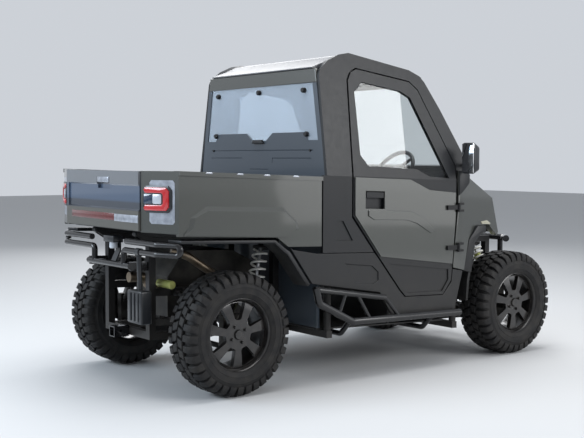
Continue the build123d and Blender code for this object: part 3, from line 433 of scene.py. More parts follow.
# The pale blue base colour is a painted reflection of the bright sky.
rear_sky_painted_glass = finish("rear_pane", (0.72, 0.82, 0.93), 0.04, 0, 0.6, 0.02)
see_through(rear_sky_painted_glass, 0.62, 1.3)

mirror_glass = finish("mirror_glass", (0.85, 0.86, 0.88), 0.02, 1.0)
handled(mirror_glass, 5, 1, 0.01, 0.03)
print("metals and glass ready")

# %% [markdown]
# Lamps are hard clear plastic over a colour, so they have a full coat. The silver trim is a dull,
# patchy film.

# %% Lenses and trim
lens_red = finish("red_lens", (0.55, 0.012, 0.018), 0.12, 0, 1.0, 0.02)
handled(lens_red, 200, 2, 0.08, 0.2)
lens_clear = finish("clear_lens", (0.52, 0.56, 0.62), 0.1, 0, 1.0, 0.02)
handled(lens_clear, 200, 2, 0.06, 0.16)
marker_amber = finish("marker_lens", (0.42, 0.40, 0.30), 0.2, 0, 1.0, 0.04)
handled(marker_amber, 200, 2, 0.14, 0.26)
lens_dark = finish("dark_lens", (0.01, 0.03, 0.07), 0.08, 0, 1.0, 0.02)
handled(lens_dark, 200, 2, 0.05, 0.14)
reflector_red = finish("red_reflector", (0.12, 0.016, 0.016), 0.2, 0, 0.8, 0.04)
grained(reflector_red, 700, 1, 0.4)
silver = finish("silver_trim", (0.48, 0.50, 0.54), 0.3, 0.35, 0.6, 0.08)
mottled(silver, 26, 4, 0.3, 0.7, (0.24, 0.26, 0.30), (0.44, 0.47, 0.53))
print(len(bpy.data.materials), "finishes")

# %% [markdown]
# ## Rounded CAD pieces
# A pressed panel or a moulding never has a knife edge: its corners are rounded by a few
# millimetres, and that is where the light catches. The CAD node's mesh is copied, its loose
# triangles are merged, its flat faces joined, and its sharp edges bevelled.

# %% Making a piece
def outwards(shape):
    """Points every face outwards."""
    bmesh.ops.recalc_face_normals(shape, faces=shape.faces)
    return shape


def add_to(target, shape):
    """Adds one bmesh to another and returns the new points."""
    before = set(target.verts)
    mesh = mesh_of("part", shape)
    target.from_mesh(mesh)
    bpy.data.meshes.remove(mesh)
    return [v for v in target.verts if v not in before]


def join(*shapes):
    """Several shapes as one."""
    whole = bmesh.new()
    for shape in shapes:
        add_to(whole, shape)
    return whole


def piece(name, shape, body, finish_of, smooth_to=35):
    """Turns a bmesh into a named piece that rides on a body."""
    mesh = mesh_of(name, shape)
    mesh.polygons.foreach_set("use_smooth", [True] * len(mesh.polygons))
    mesh.set_sharp_from_angle(angle=radians(smooth_to))
    mesh.materials.append(finish_of)
    made = bpy.data.objects.new(name, mesh)
    bpy.context.scene.collection.objects.link(made)
    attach(made, body)
    return made


# %% Rounding a CAD node
def merged_copy(node):
    """A bmesh copy of a CAD node with its triangles joined into flat faces."""
    shape = bmesh.new()
    shape.from_mesh(frame["nodes"][node].data)
    bmesh.ops.remove_doubles(shape, verts=shape.verts, dist=1e-5)
    bmesh.ops.dissolve_limit(shape, angle_limit=radians(0.6), verts=shape.verts, edges=shape.edges)
    return shape


def bevel_sharp(shape, width, segments=2, sharper_than=30):
    """Rounds every edge that is sharper than an angle."""
    limit = radians(sharper_than)
    edges = [e for e in shape.edges if len(e.link_faces) == 2 and e.calc_face_angle(0) > limit]
    bmesh.ops.bevel(shape, geom=edges, offset=width, offset_type="OFFSET", affect="EDGES",
                    segments=segments, profile=0.5, material=-1, clamp_overlap=True)


def body_of(node):
    return frame["nodes"][node]["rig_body"]


def level_of(v):
    """A point's level place: metres forward of the rear axle, and above the ground."""
    x = v.co.x - rear_x
    return x, v.co.z + x * slope


def share(value, start, length):
    """How far a value has come along a length, from 0 to 1."""
    return max(0, min(1, (value - start) / length))


def lower_front(shape):
    """Rounds the hood's line down towards the nose, the same for the hood and the fenders."""
    nose_drop = 0.026
    for v in shape.verts:
        x, z = level_of(v)
        v.co.z -= nose_drop * share(x, 1.98, 0.20) * share(z, 1.02, 0.12)


def slant_swage(shape):
    """Slants the edges of the bed's raised field, which catch the light."""
    field_y, top_slant, end_slant = 0.720, 0.024, 0.022
    for v in shape.verts:
        x, z = level_of(v)
        if abs(abs(v.co.y) - field_y) < 0.0005 and 0.92 < z < 1.2:
            if -0.3 < x < 0.36:
                v.co.z -= top_slant
            elif -0.4 < x < 0.45:
                v.co.x += end_slant if x < 0 else -end_slant


def even_shading(made):
    """Lets large flat faces lead the shading, so that a rounded edge doesn't tint them."""
    lead = made.modifiers.new("even_shading", "WEIGHTED_NORMAL")
    lead.weight = 100
    lead.keep_sharp = True


def rounded(node, width, finish_of):
    """A rounded piece that stands for a CAD node."""
    shape = merged_copy(node)
    if node in ("hood", "fenders"):
        lower_front(shape)
    if node == "bed_sides":
        slant_swage(shape)
    bevel_sharp(shape, width)
    made = piece(node + "_shape", shape, body_of(node), finish_of)
    even_shading(made)
    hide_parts(node)


print("helpers for rounding ready")

# %% Panels, mouldings and frames
rounded_groups = [
    (paint, "paint", {"bed_sides": 0.006, "rear_header": 0.005, "fenders": 0.006, "hood": 0.005,
                      "door_skin_left": 0.0025, "door_skin_right": 0.0025}),
    (gate_reflection_painted, "paint", {"tailgate": 0.008}),
    (plastic, "black_plastic", {"bed_tub": 0.004, "quarter_panels": 0.010, "door_right": 0.006,
                                "door_left": 0.006, "sill_panels": 0.005, "cowl": 0.004, "nose": 0.003,
                                "floor_tub": 0.003, "dash": 0.008}),
    (wall_painted_light_plastic, "black_plastic", {"rear_panel": 0.005}),
    (roof_black, "roof", {"roof": 0.012}),
    (chassis_black, "black_steel", {"frame": 0.003}),
    (cast_grey, "cast", {"drive": 0.006, "rear_hubs": 0.002, "knuckle_left": 0.003,
                         "knuckle_right": 0.003}),
]
for finish_of, slot, widths in rounded_groups:
    for node, width in widths.items():
        rounded(node, width, finish_of)
    print("rounded", ", ".join(widths))

# %% [markdown]
# Glass, tubes and suspension arms have the right shape already, so the CAD nodes stay and only
# take a finish. The tyres and rims take one too, although richer pieces stand for them below.

# %% Finishes of the CAD nodes that stay
corners = ("rear_left", "rear_right", "front_left", "front_right")
kept_nodes = {
    tube_black: ("rear_bumper", "front_bumper", "step_bars"),
    chassis_black: ("rear_arms", "front_arms", "cab_cage", "steering_rack", "body_hinges",
                    "door_hinges_left", "door_hinges_right"),
    glass: ("door_glass_left", "door_glass_right", "windscreen"),
    rear_sky_painted_glass: ("rear_window",),
    pipe_steel: ("exhaust",),
    lens_clear: ("headlamps",),
    rubber: ["tyre_" + corner for corner in corners],
    wheel_black: ["rim_" + corner for corner in corners],
}
for finish_of, nodes in kept_nodes.items():
    for node in nodes:
        data = frame["nodes"][node].data
        data.materials.clear()
        data.materials.append(finish_of)
print(sum(len(nodes) for nodes in kept_nodes.values()), "CAD nodes take a finish")

# %% [markdown]
# ## Tyres
# An off-road tyre is a smooth carcass with rows of rubber blocks: two staggered rows in the middle
# and long lugs that wrap from the tread down onto each sidewall. The carcass is one spun profile,
# and each kind of block is made once and copied round by a spin that duplicates.

# %% Tyre carcass
tread_base = 0.335
tread_top = 0.3545
pitches = 36
axis_y = Vector((0, 1, 0))
carcass_half = [(0.090, 0.2035), (0.104, 0.2060), (0.1150, 0.2180), (0.1212, 0.2360), (0.1230, 0.2375),
                (0.1231, 0.2405), (0.1219, 0.2420), (0.1235, 0.2620), (0.1234, 0.2700), (0.1248, 0.2712),
                (0.1247, 0.2745), (0.1232, 0.2760), (0.1215, 0.2850), (0.1150, 0.3080), (0.1030, 0.3240),
                (0.0820, 0.3330), (0.0400, tread_base)]


def spun(profile, steps, closed=True):
    """Spins a profile of (along the axle, radius) points about the Y axis."""
    shape = bmesh.new()
    ring = [shape.verts.new((0, along, radius)) for along, radius in profile]
    runs = list(zip(ring, ring[1:] + (ring[:1] if closed else [])))
    edges = [shape.edges.new(run) for run in runs if run[0] is not run[1]]
    bmesh.ops.spin(shape, geom=ring + edges, axis=axis_y, cent=(0, 0, 0), angle=2 * pi, steps=steps,
                   use_merge=True)
    bmesh.ops.remove_doubles(shape, verts=shape.verts, dist=1e-5)
    return outwards(shape)


def turned(shape, angle, axis, verts=None):
    """Turns a shape, or some of its points, about an axis through the origin."""
    bmesh.ops.rotate(shape, verts=verts or shape.verts, cent=(0, 0, 0),
                     matrix=Matrix.Rotation(angle, 3, axis))
    return shape


def moved(shape, way, verts=None):
    bmesh.ops.translate(shape, verts=verts or shape.verts, vec=way)
    return shape


print("carcass ring of", 2 * len(carcass_half), "points")

# %% Tread blocks
def block(outline, length, shrink, slant=0.0):
    """A rubber block: an outline of (along the axle, radius) points with a length round the tyre."""
    shape = bmesh.new()
    ring = [shape.verts.new((-length / 2, along, radius)) for along, radius in outline]
    face = shape.faces.new(ring)
    grown = bmesh.ops.extrude_face_region(shape, geom=[face])
    moved(shape, (length, 0, 0), [v for v in grown["geom"] if isinstance(v, bmesh.types.BMVert)])
    for v in shape.verts:
        v.co.x *= 1 - shrink * share(v.co.z, tread_base, tread_top - tread_base)
        v.co.x += slant * v.co.y
    return outwards(shape)


def join_round(target, shape, turn_by, copies):
    """Copies a block round the axle into the target shape."""
    fresh = add_to(target, shape)
    turned(target, turn_by, "Y", fresh)
    faces = {f for v in fresh for f in v.link_faces}
    edges = {e for v in fresh for e in v.link_edges}
    bmesh.ops.spin(target, geom=fresh + list(edges) + list(faces), axis=axis_y, cent=(0, 0, 0),
                   angle=2 * pi * (copies - 1) / copies, steps=copies - 1, use_duplicate=True)


carcass = spun(carcass_half + [(-a, r) for a, r in reversed(carcass_half)], 108)
middle_block = [(-0.0235, tread_base - 0.004), (0.0235, tread_base - 0.004), (0.0215, tread_top),
                (-0.0215, tread_top)]
shoulder_lug = [(0.0560, 0.3300), (0.0570, 0.3535), (0.0900, 0.3515), (0.1130, 0.3400), (0.1225, 0.3200),
                (0.1248, 0.3020), (0.1236, 0.2920), (0.1185, 0.2980), (0.1100, 0.3140), (0.0950, 0.3270)]
stagger = radians(2.5)
for side in (1, -1):
    middle = block([(a + side * 0.0270, r) for a, r in middle_block], 0.049, 0.08, side * 0.30)
    bevel_sharp(middle, 0.002, 1)
    join_round(carcass, middle, stagger * side, pitches)
    lug = block([(a * side, r) for a, r in shoulder_lug], 0.041, 0.14, side * 0.06)
    bevel_sharp(lug, 0.0022, 1)
    join_round(carcass, lug, -stagger * side, pitches)
print("tyre faces", len(carcass.faces))
tyre_mesh = mesh_of("tyre", carcass)

# %% Placing wheels
wheels = {"rear_right": (rear_x, -rear_y), "rear_left": (rear_x, rear_y),
          "front_right": (front_x, -front_y), "front_left": (front_x, front_y)}


def place_wheel(name, mesh, finish_of, stands_for=None):
    """A wheel part modelled with its outside towards +Y, set on all four axles."""
    for corner, (x, y) in wheels.items():
        shape = bmesh.new()
        shape.from_mesh(mesh)
        if y < 0:
            turned(shape, pi, "Z")
        moved(shape, (x, y, axle_z))
        made = piece(f"{name}_{corner}", shape, f"wheel_{corner}", finish_of, 40)
        if stands_for:
            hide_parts(f"{stands_for}_{corner}")
    print(name, "on", len(wheels), "wheels")


place_wheel("lugged_tyre", tyre_mesh, rubber, "tyre")

# %% [markdown]
# ## Wheels
# The wheels are cast in one piece: a spun barrel with a raised lip, and a face with seven spokes
# between seven windows that widen outwards. The windows are cut with a Boolean modifier.

# %% Wheel barrel and face
barrel = spun([(0.1085, 0.2050), (0.1065, 0.2090), (0.1015, 0.2085), (0.0965, 0.2040), (-0.0965, 0.2040),
               (-0.1035, 0.2080), (-0.1075, 0.2050), (-0.1030, 0.1960), (-0.0850, 0.1880), (0.0200, 0.1860),
               (0.0640, 0.1900), (0.0860, 0.1950), (0.1020, 0.1990)], 96)
face = spun([(0.0500, 0.1920), (0.0760, 0.1920), (0.0790, 0.1840), (0.0830, 0.1500), (0.0870, 0.0850),
             (0.0885, 0.0560), (0.0885, 0.0300), (0.0560, 0.0300), (0.0560, 0.0800), (0.0520, 0.1500)], 98)
print("barrel", len(barrel.faces), "faces, face", len(face.faces))

# %% Windows between the spokes
spokes = 7
windows = bmesh.new()
for spoke in range(spokes):
    before = set(windows.verts)
    bmesh.ops.create_cube(windows, size=1)
    fresh = [v for v in windows.verts if v not in before]
    for v in fresh:
        wide = 0.053 if v.co.z > 0 else 0.0195
        v.co = Vector((wide * (1 if v.co.x > 0 else -1), 0.07 + v.co.y * 0.08, 0.1325 + v.co.z * 0.097))
    turned(windows, 2 * pi * spoke / spokes, "Y", fresh)
corner_edges = [e for e in windows.edges if abs((e.verts[0].co - e.verts[1].co).normalized().y) > 0.9]
bmesh.ops.bevel(windows, geom=corner_edges, offset=0.010, affect="EDGES", segments=3, profile=0.5,
                material=-1)


def cut_away(base, cutter):
    """The base shape with the cutter's shape cut out of it, as a new mesh."""
    objects = []
    for label, shape in (("base", base), ("cutter", cutter)):
        objects.append(bpy.data.objects.new(label, mesh_of(label, shape)))
        bpy.context.scene.collection.objects.link(objects[-1])
    knife = objects[0].modifiers.new("cut", "BOOLEAN")
    knife.operation = "DIFFERENCE"
    knife.solver = "EXACT"
    knife.object = objects[1]
    evaluated = objects[0].evaluated_get(bpy.context.evaluated_depsgraph_get())
    result = bmesh.new()
    result.from_mesh(evaluated.to_mesh())
    evaluated.to_mesh_clear()
    for made in objects:
        bpy.data.objects.remove(made)
    return result


face = cut_away(face, windows)
bevel_sharp(face, 0.0015, 1, 40)
place_wheel("spoked_wheel", mesh_of("wheel", join(barrel, face)), wheel_black, "rim")

# %% Wheel nuts and centre cap
fittings = spun([(0.0800, 0.0), (0.0800, 0.0290), (0.0960, 0.0285), (0.1000, 0.0250), (0.1010, 0.0)], 32,
                closed=False)
for nut in range(4):
    for height, radius, sides in ((0.0085, 0.0115, 6), (0.0100, 0.0085, 12)):
        before = set(fittings.verts)
        bmesh.ops.create_cone(fittings, cap_ends=True, segments=sides, radius1=radius,
                              radius2=radius * 0.82, depth=0.016)
        fresh = [v for v in fittings.verts if v not in before]
        turned(fittings, -pi / 2, "X", fresh)
        moved(fittings, (0, 0.0845 + height, 0.052), fresh)
        turned(fittings, pi / 2 * nut + 0.5, "Y", fresh)
place_wheel("wheel_fittings", mesh_of("fittings", fittings), wheel_black)

# %% [markdown]
# ## Small parts from outlines
# Most trim is a flat outline with a thickness. One helper bridges two outlines into a solid, two
# take an outline from the side or from behind, and two mirror a shape onto the left.

# %% Outline helpers
def prism(near, far, bevel=0.0, segments=2):
    """A solid between two outlines with the same number of points."""
    shape = bmesh.new()
    first = [shape.verts.new(p) for p in near]
    second = [shape.verts.new(p) for p in far]
    shape.faces.new(first)
    shape.faces.new(second)
    bmesh.ops.bridge_loops(shape, edges=shape.edges[:])
    outwards(shape)
    if bevel:
        bevel_sharp(shape, bevel, segments, 25)
    return shape


def side_prism(points, y_out, y_in, bevel=0.0, segments=2):
    """A solid from a level side-view outline, on the right."""
    return prism([at(x, -y_out, z) for x, z in points], [at(x, -y_in, z) for x, z in points], bevel, segments)


def back_prism(points, x_near, x_far, bevel=0.0):
    """A solid from an outline of (y, level height) points seen from behind."""
    return prism([at(x_near, y, z) for y, z in points], [at(x_far, y, z) for y, z in points], bevel)


def both_sides(shape):
    """The shape and its mirror image on the left."""
    fresh = bmesh.ops.duplicate(shape, geom=shape.faces[:] + shape.edges[:] + shape.verts[:])["geom"]
    for v in fresh:
        if isinstance(v, bmesh.types.BMVert):
            v.co.y *= -1
    bmesh.ops.reverse_faces(shape, faces=[f for f in fresh if isinstance(f, bmesh.types.BMFace)])
    return shape


def mirrored(shape):
    """The shape's mirror image alone."""
    twin = shape.copy()
    for v in twin.verts:
        v.co.y *= -1
    bmesh.ops.reverse_faces(twin, faces=twin.faces)
    return twin


print("outline helpers ready")

# %% [markdown]
# ## Tubes
# A tube is a curve with a round bevel, made a mesh. A NURBS spline bends smoothly past its points.

# %% Tubes
def pipe(points, radius, sides=16):
    """A round tube along points, as the mesh of a curve."""
    curve = bpy.data.curves.new("pipe", "CURVE")
    curve.dimensions = "3D"
    curve.bevel_depth = radius
    curve.bevel_resolution = sides // 4
    curve.use_fill_caps = True
    spline = curve.splines.new("NURBS")
    spline.points.add(len(points) - 1)
    for point, place in zip(spline.points, points):
        point.co = (*place, 1)
    spline.order_u = 3
    spline.use_endpoint_u = True
    spline.resolution_u = 6
    holder = bpy.data.objects.new("pipe", curve)
    mesh = bpy.data.meshes.new_from_object(holder)
    shape = bmesh.new()
    shape.from_mesh(mesh)
    bpy.data.objects.remove(holder)
    bpy.data.curves.remove(curve)
    bpy.data.meshes.remove(mesh)
    bmesh.ops.remove_doubles(shape, verts=shape.verts, dist=1e-5)
    return outwards(shape)


print("tube helper ready")

# %% [markdown]
# ## Tail lamps
# Each lamp has a black housing, a red lens in the shape of a C that opens towards the tailgate,
# and a middle part half dark and half clear. A silver surround lies on the corner post behind it.

# %% Tail lamps
corner_start = at(-0.484, -0.456, 0)
corner_end = at(-0.394, -0.706, 0)
corner_start.z = corner_end.z = 0
outboard = (corner_end - corner_start).normalized()
outward = Vector((outboard.y, -outboard.x, 0))


def corner_prism(points, low, high, bevel=0.0):
    """A solid on the right corner post from points of (distance from the tailgate, height)."""
    outlines = []
    for proud in (high, low):
        outlines.append([corner_start + outboard * u + outward * proud + Vector((0, 0, z))
                         for u, z in points])
    return prism(*outlines, bevel)


def cut_corners(u0, u1, z0, z1, cut):
    """A rectangle with its corners cut."""
    return [(u0 + cut, z0), (u1 - cut, z0), (u1, z0 + cut), (u1, z1 - cut), (u1 - cut, z1), (u0 + cut, z1),
            (u0, z1 - cut), (u0, z0 + cut)]


print("corner post", round((corner_end - corner_start).length, 3), "m wide")

# %% Lamp parts
red_c = [(0.042, 1.066), (0.188, 1.066), (0.208, 1.086), (0.208, 1.172), (0.188, 1.192), (0.042, 1.192),
         (0.030, 1.180), (0.042, 1.162), (0.158, 1.162), (0.168, 1.152), (0.168, 1.106), (0.158, 1.096),
         (0.042, 1.096), (0.030, 1.078)]
lamp_parts = {
    "lamp_housing": (smooth_plastic, cut_corners(0.020, 0.222, 1.054, 1.202, 0.024), 0, 0.010, 0.003),
    "lamp_red_lens": (lens_red, red_c, 0.008, 0.017, 0.002),
    "lamp_dark_lens": (lens_dark, cut_corners(0.030, 0.092, 1.102, 1.156, 0.004), 0.008, 0.014, 0.0015),
    "lamp_clear_lens": (lens_clear, cut_corners(0.094, 0.156, 1.102, 1.156, 0.006), 0.008, 0.015, 0.0015),
    "lamp_surround": (silver, cut_corners(0.062, 0.240, 0.992, 1.232, 0.014), 0, 0.0015, 0),
}
for name, (finish_of, outline, low, high, bevel) in lamp_parts.items():
    made = piece(name, both_sides(corner_prism(outline, low, high, bevel)), "bed", finish_of)
    if name == "lamp_housing":
        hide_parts("tail_lamps")
print(len(lamp_parts), "parts in each tail lamp")

# %% [markdown]
# ## Tailgate and towing gear
# The gate carries a red reflector, a blank silver strip and a handle cap. A trailer socket hangs on
# a bent bracket from the bumper's cross tube, and a ribbed box hangs by a stem from the right loop.

# %% Tailgate trim
gate_face = -0.498
gate_rise = gate_face * slope


def gate_prism(y0, y1, z0, z1, proud, sunk=0.0, bevel=0.001):
    """A plate on the tailgate between two heights of the world."""
    low, high = z0 + gate_rise, z1 + gate_rise
    outline = [(y0, low), (y1, low), (y1, high), (y0, high)]
    return back_prism(outline, gate_face - proud, gate_face + sunk, bevel)


for name, finish_of, sizes in (
        ("gate_reflector", reflector_red, (-0.169, 0.377, 0.995, 1.036, 0.002)),
        ("gate_plate", silver, (-0.446, -0.171, 0.992, 1.034, 0.0025)),
        ("gate_handle_cap", silver, (-0.104, 0.038, 1.212, 1.244, 0.003, 0.010, 0.003))):
    piece(name, gate_prism(*sizes), "tailgate", finish_of)
tie_plates = []
for x in (-0.209, -0.002, 0.185, 0.394):
    outline = [(x - 0.024, 1.259), (x + 0.024, 1.259), (x + 0.020, 1.268), (x - 0.014, 1.268)]
    tie_plates.append(side_prism(outline, 0.7225, 0.692, 0.0012))
piece("tie_down_plates", both_sides(join(*tie_plates)), "bed", silver)
print("tailgate trim and", len(tie_plates), "tie-down plates a side")

# %% Trailer socket
socket_y, socket_foot = -0.030, 0.842
socket_box = back_prism([(-0.085, socket_foot), (0.040, socket_foot), (0.040, 0.880), (-0.085, 0.880)],
                        -0.462, -0.395, 0.004)
socket_bracket = side_prism([(-0.403, 0.850), (-0.395, 0.850), (-0.395, 0.790), (-0.428, 0.722),
                             (-0.436, 0.726), (-0.403, 0.794)], 0.058, 0.002)
piece("socket_box", join(socket_box, socket_bracket), "chassis", smooth_plastic)
socket_cover = spun([(0.0, 0.0), (0.0, 0.024), (0.030, 0.026), (0.036, 0.022), (0.036, 0.0)], 28,
                    closed=False)
turned(socket_cover, -pi / 2, "X")
moved(socket_cover, at(-0.430, socket_y, socket_foot))
piece("socket_cover", socket_cover, "chassis", lens_clear)
print("socket at", [round(v, 3) for v in at(-0.430, socket_y, socket_foot)])

# %% Tow box
box_low, box_high, box_back = 0.400, 0.590, -0.478
box_ends = []
for x, y_out, y_in in ((box_back, -0.440, -0.276), (-0.400, -0.425, -0.290)):
    box_ends.append([at(x, y_out, box_low), at(x, y_in, box_low), at(x, y_in, box_high),
                     at(x, y_out, box_high)])
tow_box = prism(*box_ends, 0.010, 3)
tow_ribs = []
for y in (-0.400, -0.358, -0.316):
    rib = [(y - 0.012, 0.415), (y + 0.012, 0.415), (y + 0.012, 0.575), (y - 0.012, 0.575)]
    tow_ribs.append(back_prism(rib, box_back - 0.006, box_back + 0.008, 0.003))
stem_y = -0.360
tow_stem = pipe([at(-0.440, stem_y, 0.580), at(-0.440, stem_y, 0.640), at(-0.445, stem_y, 0.730),
                 at(-0.445, stem_y, 0.804)], 0.014)
tow_collar = spun([(-0.022, 0.0), (-0.022, 0.0225), (0.022, 0.0225), (0.022, 0.0)], 28, closed=False)
moved(tow_collar, at(-0.445, stem_y, 0.806))
piece("tow_box", join(tow_box, *tow_ribs, tow_stem, tow_collar), "chassis", smooth_plastic)
print("tow box with", len(tow_ribs), "ribs")

# %% [markdown]
# ## Coil-over dampers
# Each damper has a body below, a bright rod above, a seat for the spring at both ends and an eye at
# each mount. The spring is a round wire swept along a helix that widens towards its foot.

# %% Dampers
def along_line(foot, head, shape):
    """Lays a shape that was made upright from the origin along a line."""
    turn_to = (head - foot).to_track_quat("Z", "Y").to_matrix().to_4x4()
    bmesh.ops.transform(shape, matrix=Matrix.Translation(foot) @ turn_to, verts=shape.verts)
    return shape


def stem(profile):
    """A turned shape of (height, radius) points about the Z axis."""
    return turned(spun(profile, 32, closed=False), pi / 2, "X")


def damper_seat(start, end, radius):
    return stem([(start, 0.0), (start, radius - 0.003), (start + 0.003, radius), (end - 0.003, radius),
                 (end, radius - 0.003), (end, 0.0)])


wheelbase = front_x - rear_x
wire = 0.0068
damper_places = ((at(0.285, -0.405, 0.328), at(0.428, -0.330, 0.862), 9, 0.052, 0.044),
                 (at(wheelbase, -0.440, 0.645), at(wheelbase, -0.330, 0.862), 4, 0.045, 0.042))
coil_parts, body_parts, seat_parts, rod_parts = [], [], [], []
print("dampers from foot to head", [round((head - foot).length, 3) for foot, head, *_ in damper_places])

# %% Springs and bodies
for foot, head, turns, wide_low, wide_high in damper_places:
    whole = (head - foot).length
    low, high = 0.045, whole - 0.040
    steps = 12 * turns
    helix = []
    for k in range(steps + 1):
        climb = k / steps
        radius = wide_low + (wide_high - wide_low) * climb
        angle = 2 * pi * turns * climb
        rise = low + 0.015 + (high - low - 0.030) * climb
        helix.append(Vector((radius * cos(angle), radius * sin(angle), rise)))
    coil_parts.append(along_line(foot, head, pipe(helix, wire, 12)))
    half = low + (high - low) * 0.52
    body_parts.append(along_line(foot, head, stem(
        [(0.016, 0.0), (0.016, 0.022), (low, 0.027), (half - 0.030, 0.027), (half, 0.024), (half, 0.0)])))
    rod_parts.append(along_line(foot, head, stem([(half, 0.0), (half, 0.0105), (high, 0.0105), (high, 0.0)])))
    neck = whole - 0.012
    for seat in (damper_seat(low - 0.004, low + 0.008, wide_low + 0.007),
                 damper_seat(high - 0.008, high + 0.004, wide_high + 0.007),
                 stem([(high, 0.0), (high, 0.020), (neck, 0.016), (neck, 0.0)])):
        seat_parts.append(along_line(foot, head, seat))
    for mount, direction in ((foot, "X"), (head, "Y")):
        eye = spun([(-0.022, 0.0), (-0.022, 0.016), (-0.018, 0.018), (0.018, 0.018), (0.022, 0.016),
                    (0.022, 0.0)], 24, closed=False)
        if direction == "X":
            turned(eye, pi / 2, "Z")
        seat_parts.append(moved(eye, mount))
for name, parts, finish_of, smooth_to in (
        ("coils", coil_parts, spring_white, 60), ("bodies", body_parts, damper_gold, 35),
        ("rods", rod_parts, steel, 35), ("seats", seat_parts, chassis_black, 35)):
    shape = both_sides(join(*parts))
    made = piece("damper_" + name, shape, body_of("dampers"), finish_of, smooth_to)
    if name == "coils":
        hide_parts("dampers")
    print("damper", name, len(made.data.polygons), "faces")

# %% [markdown]
# ## Mirrors
# A mirror has a rounded shell that tapers forward, a glass set into its rear face, and a stalk
# from the foot of the front pillar.

# %% Mirrors
head_x, head_y, head_low, head_high = 1.790, 0.800, 1.318, 1.532
shell = bmesh.new()
bmesh.ops.create_cube(shell, size=1)
for v in shell.verts:
    narrow = 0.72 if v.co.x > 0 else 1.0
    v.co = at(head_x + v.co.x * 0.075, -head_y + v.co.y * 0.118 * narrow,
              (head_low + head_high) / 2 + v.co.z * (head_high - head_low) * narrow)
bevel_sharp(outwards(shell), 0.018, 4)
stalk = pipe([at(1.852, -0.690, 1.325), at(1.850, -0.692, 1.372), at(1.835, -0.720, 1.395),
              at(1.805, -0.775, 1.400)], 0.013)
sail = side_prism([(1.762, 1.342), (1.836, 1.342), (1.862, 1.318), (1.858, 1.262), (1.800, 1.205),
                   (1.762, 1.178)], 0.722, 0.712, 0.003)
shells = piece("mirror_shells", both_sides(join(shell, stalk)), "chassis", smooth_plastic)
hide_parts("mirrors")
piece("mirror_sails", both_sides(sail), "chassis", plastic)
glass_in, glass_out, glass_low, glass_high = -head_y + 0.050, -head_y - 0.050, 1.330, 1.520
mirror_plate = back_prism([(glass_out, glass_low), (glass_in, glass_low), (glass_in, glass_high),
                           (glass_out, glass_high)], head_x - 0.0385, head_x - 0.0300, 0.002)
piece("mirror_glasses", both_sides(mirror_plate), "chassis", mirror_glass)
print("mirror heads", round(head_high - head_low, 3), "m high")

# %% [markdown]
# ## Wheel arches
# A black moulding lines each arch. The rear one follows the bed's side and comes down along the
# sill, and the front one follows the edge of the fender.

# %% Arch mouldings
arches = {
    "rear_arch_mouldings": (0.700, 0.560, 0.003, [
        (-0.375, 0.890), (0.262, 0.890), (0.338, 0.838), (0.368, 0.822), (0.520, 0.624),
        (0.500, 0.612), (0.352, 0.802), (0.326, 0.820), (0.256, 0.872), (-0.375, 0.872)]),
    "front_arch_mouldings": (0.700, 0.600, 0.004, [
        (1.832, 0.676), (1.884, 0.880), (1.969, 0.974), (2.050, 0.979),
        (2.050, 0.930), (2.000, 0.925), (1.945, 0.862), (1.910, 0.660)]),
    "front_well_walls": (0.680, 0.440, 0.004, [
        (1.880, 0.468), (1.902, 0.468), (1.914, 0.600), (1.934, 0.700), (1.958, 0.800),
        (1.936, 0.812), (1.910, 0.705), (1.890, 0.605)]),
}
for name, (y_out, y_in, bevel, outline) in arches.items():
    piece(name, both_sides(side_prism(outline, y_out, y_in, bevel)), "chassis", plastic)
print(", ".join(arches))

# %% Side lamps on the fenders
def fender_prism(points, proud, sunk, bevel=0.001):
    """A plate on the fender's outside, which tapers in towards the nose."""
    def out(x):
        return 0.716 - max(0, (x - 1.800) / 0.488) * 0.116
    outlines = [[at(x, -(out(x) + grow), z) for x, z in points] for grow in (proud, -sunk)]
    return prism(*outlines, bevel)


lamp_outline = [(2.040, 1.004), (2.120, 1.012), (2.172, 0.992), (2.160, 0.984), (2.052, 0.988)]
side_lamps = both_sides(fender_prism(lamp_outline, 0.003, 0.010))
piece("fender_lamps", side_lamps, "chassis", marker_amber)
print("side lamps")

# %% [markdown]
# ## Rear wall
# The pane is held by five knobs and a latch in the middle.

# %% Knobs and latch
wall_x = rear_x + 0.645


def knob(y, z, radius, depth):
    """A round knob on the rear wall at a height of the world, its foot sunk to the pane."""
    shape = spun([(-0.0065, 0.0), (-0.0065, radius), (depth * 0.7, radius), (depth, radius * 0.8),
                  (depth, 0.0)], 20, closed=False)
    return moved(turned(shape, pi / 2, "Z"), (wall_x, y, z))


knob_places = ((0.471, 1.771), (0.0, 1.776), (-0.471, 1.771), (0.500, 1.502), (-0.500, 1.502))
knobs = [knob(y, z, 0.016, 0.016) for y, z in knob_places]
bolts = [knob(y, 1.403, 0.008, 0.006) for y in (0.535, -0.535)]
latch_outline = ((-0.060, 1.448), (0.060, 1.448), (0.045, 1.472), (-0.045, 1.472))
latch = prism(*[[Vector((x, y, z)) for y, z in latch_outline] for x in (wall_x - 0.019, wall_x)], 0.003)
piece("rear_wall_fittings", join(*knobs, latch, *bolts), "chassis", seal_rubber)
print(len(knobs), "knobs,", len(bolts), "bolts and a latch")

# %% [markdown]
# ## Window gaskets
# A rubber gasket frames each door's window, whose side leans in above the belt line. The gasket is
# an outline inset by its own width and given a depth.

# %% Window gaskets
belt = 1.276
door_half = 0.716
side_lean = tan(radians(8.95))
window = [(0.920, 1.411), (0.978, 1.346), (1.392, 1.341), (1.503, 1.296), (1.680, 1.290), (1.395, 1.801),
          (1.310, 1.838), (0.990, 1.868), (0.920, 1.800)]


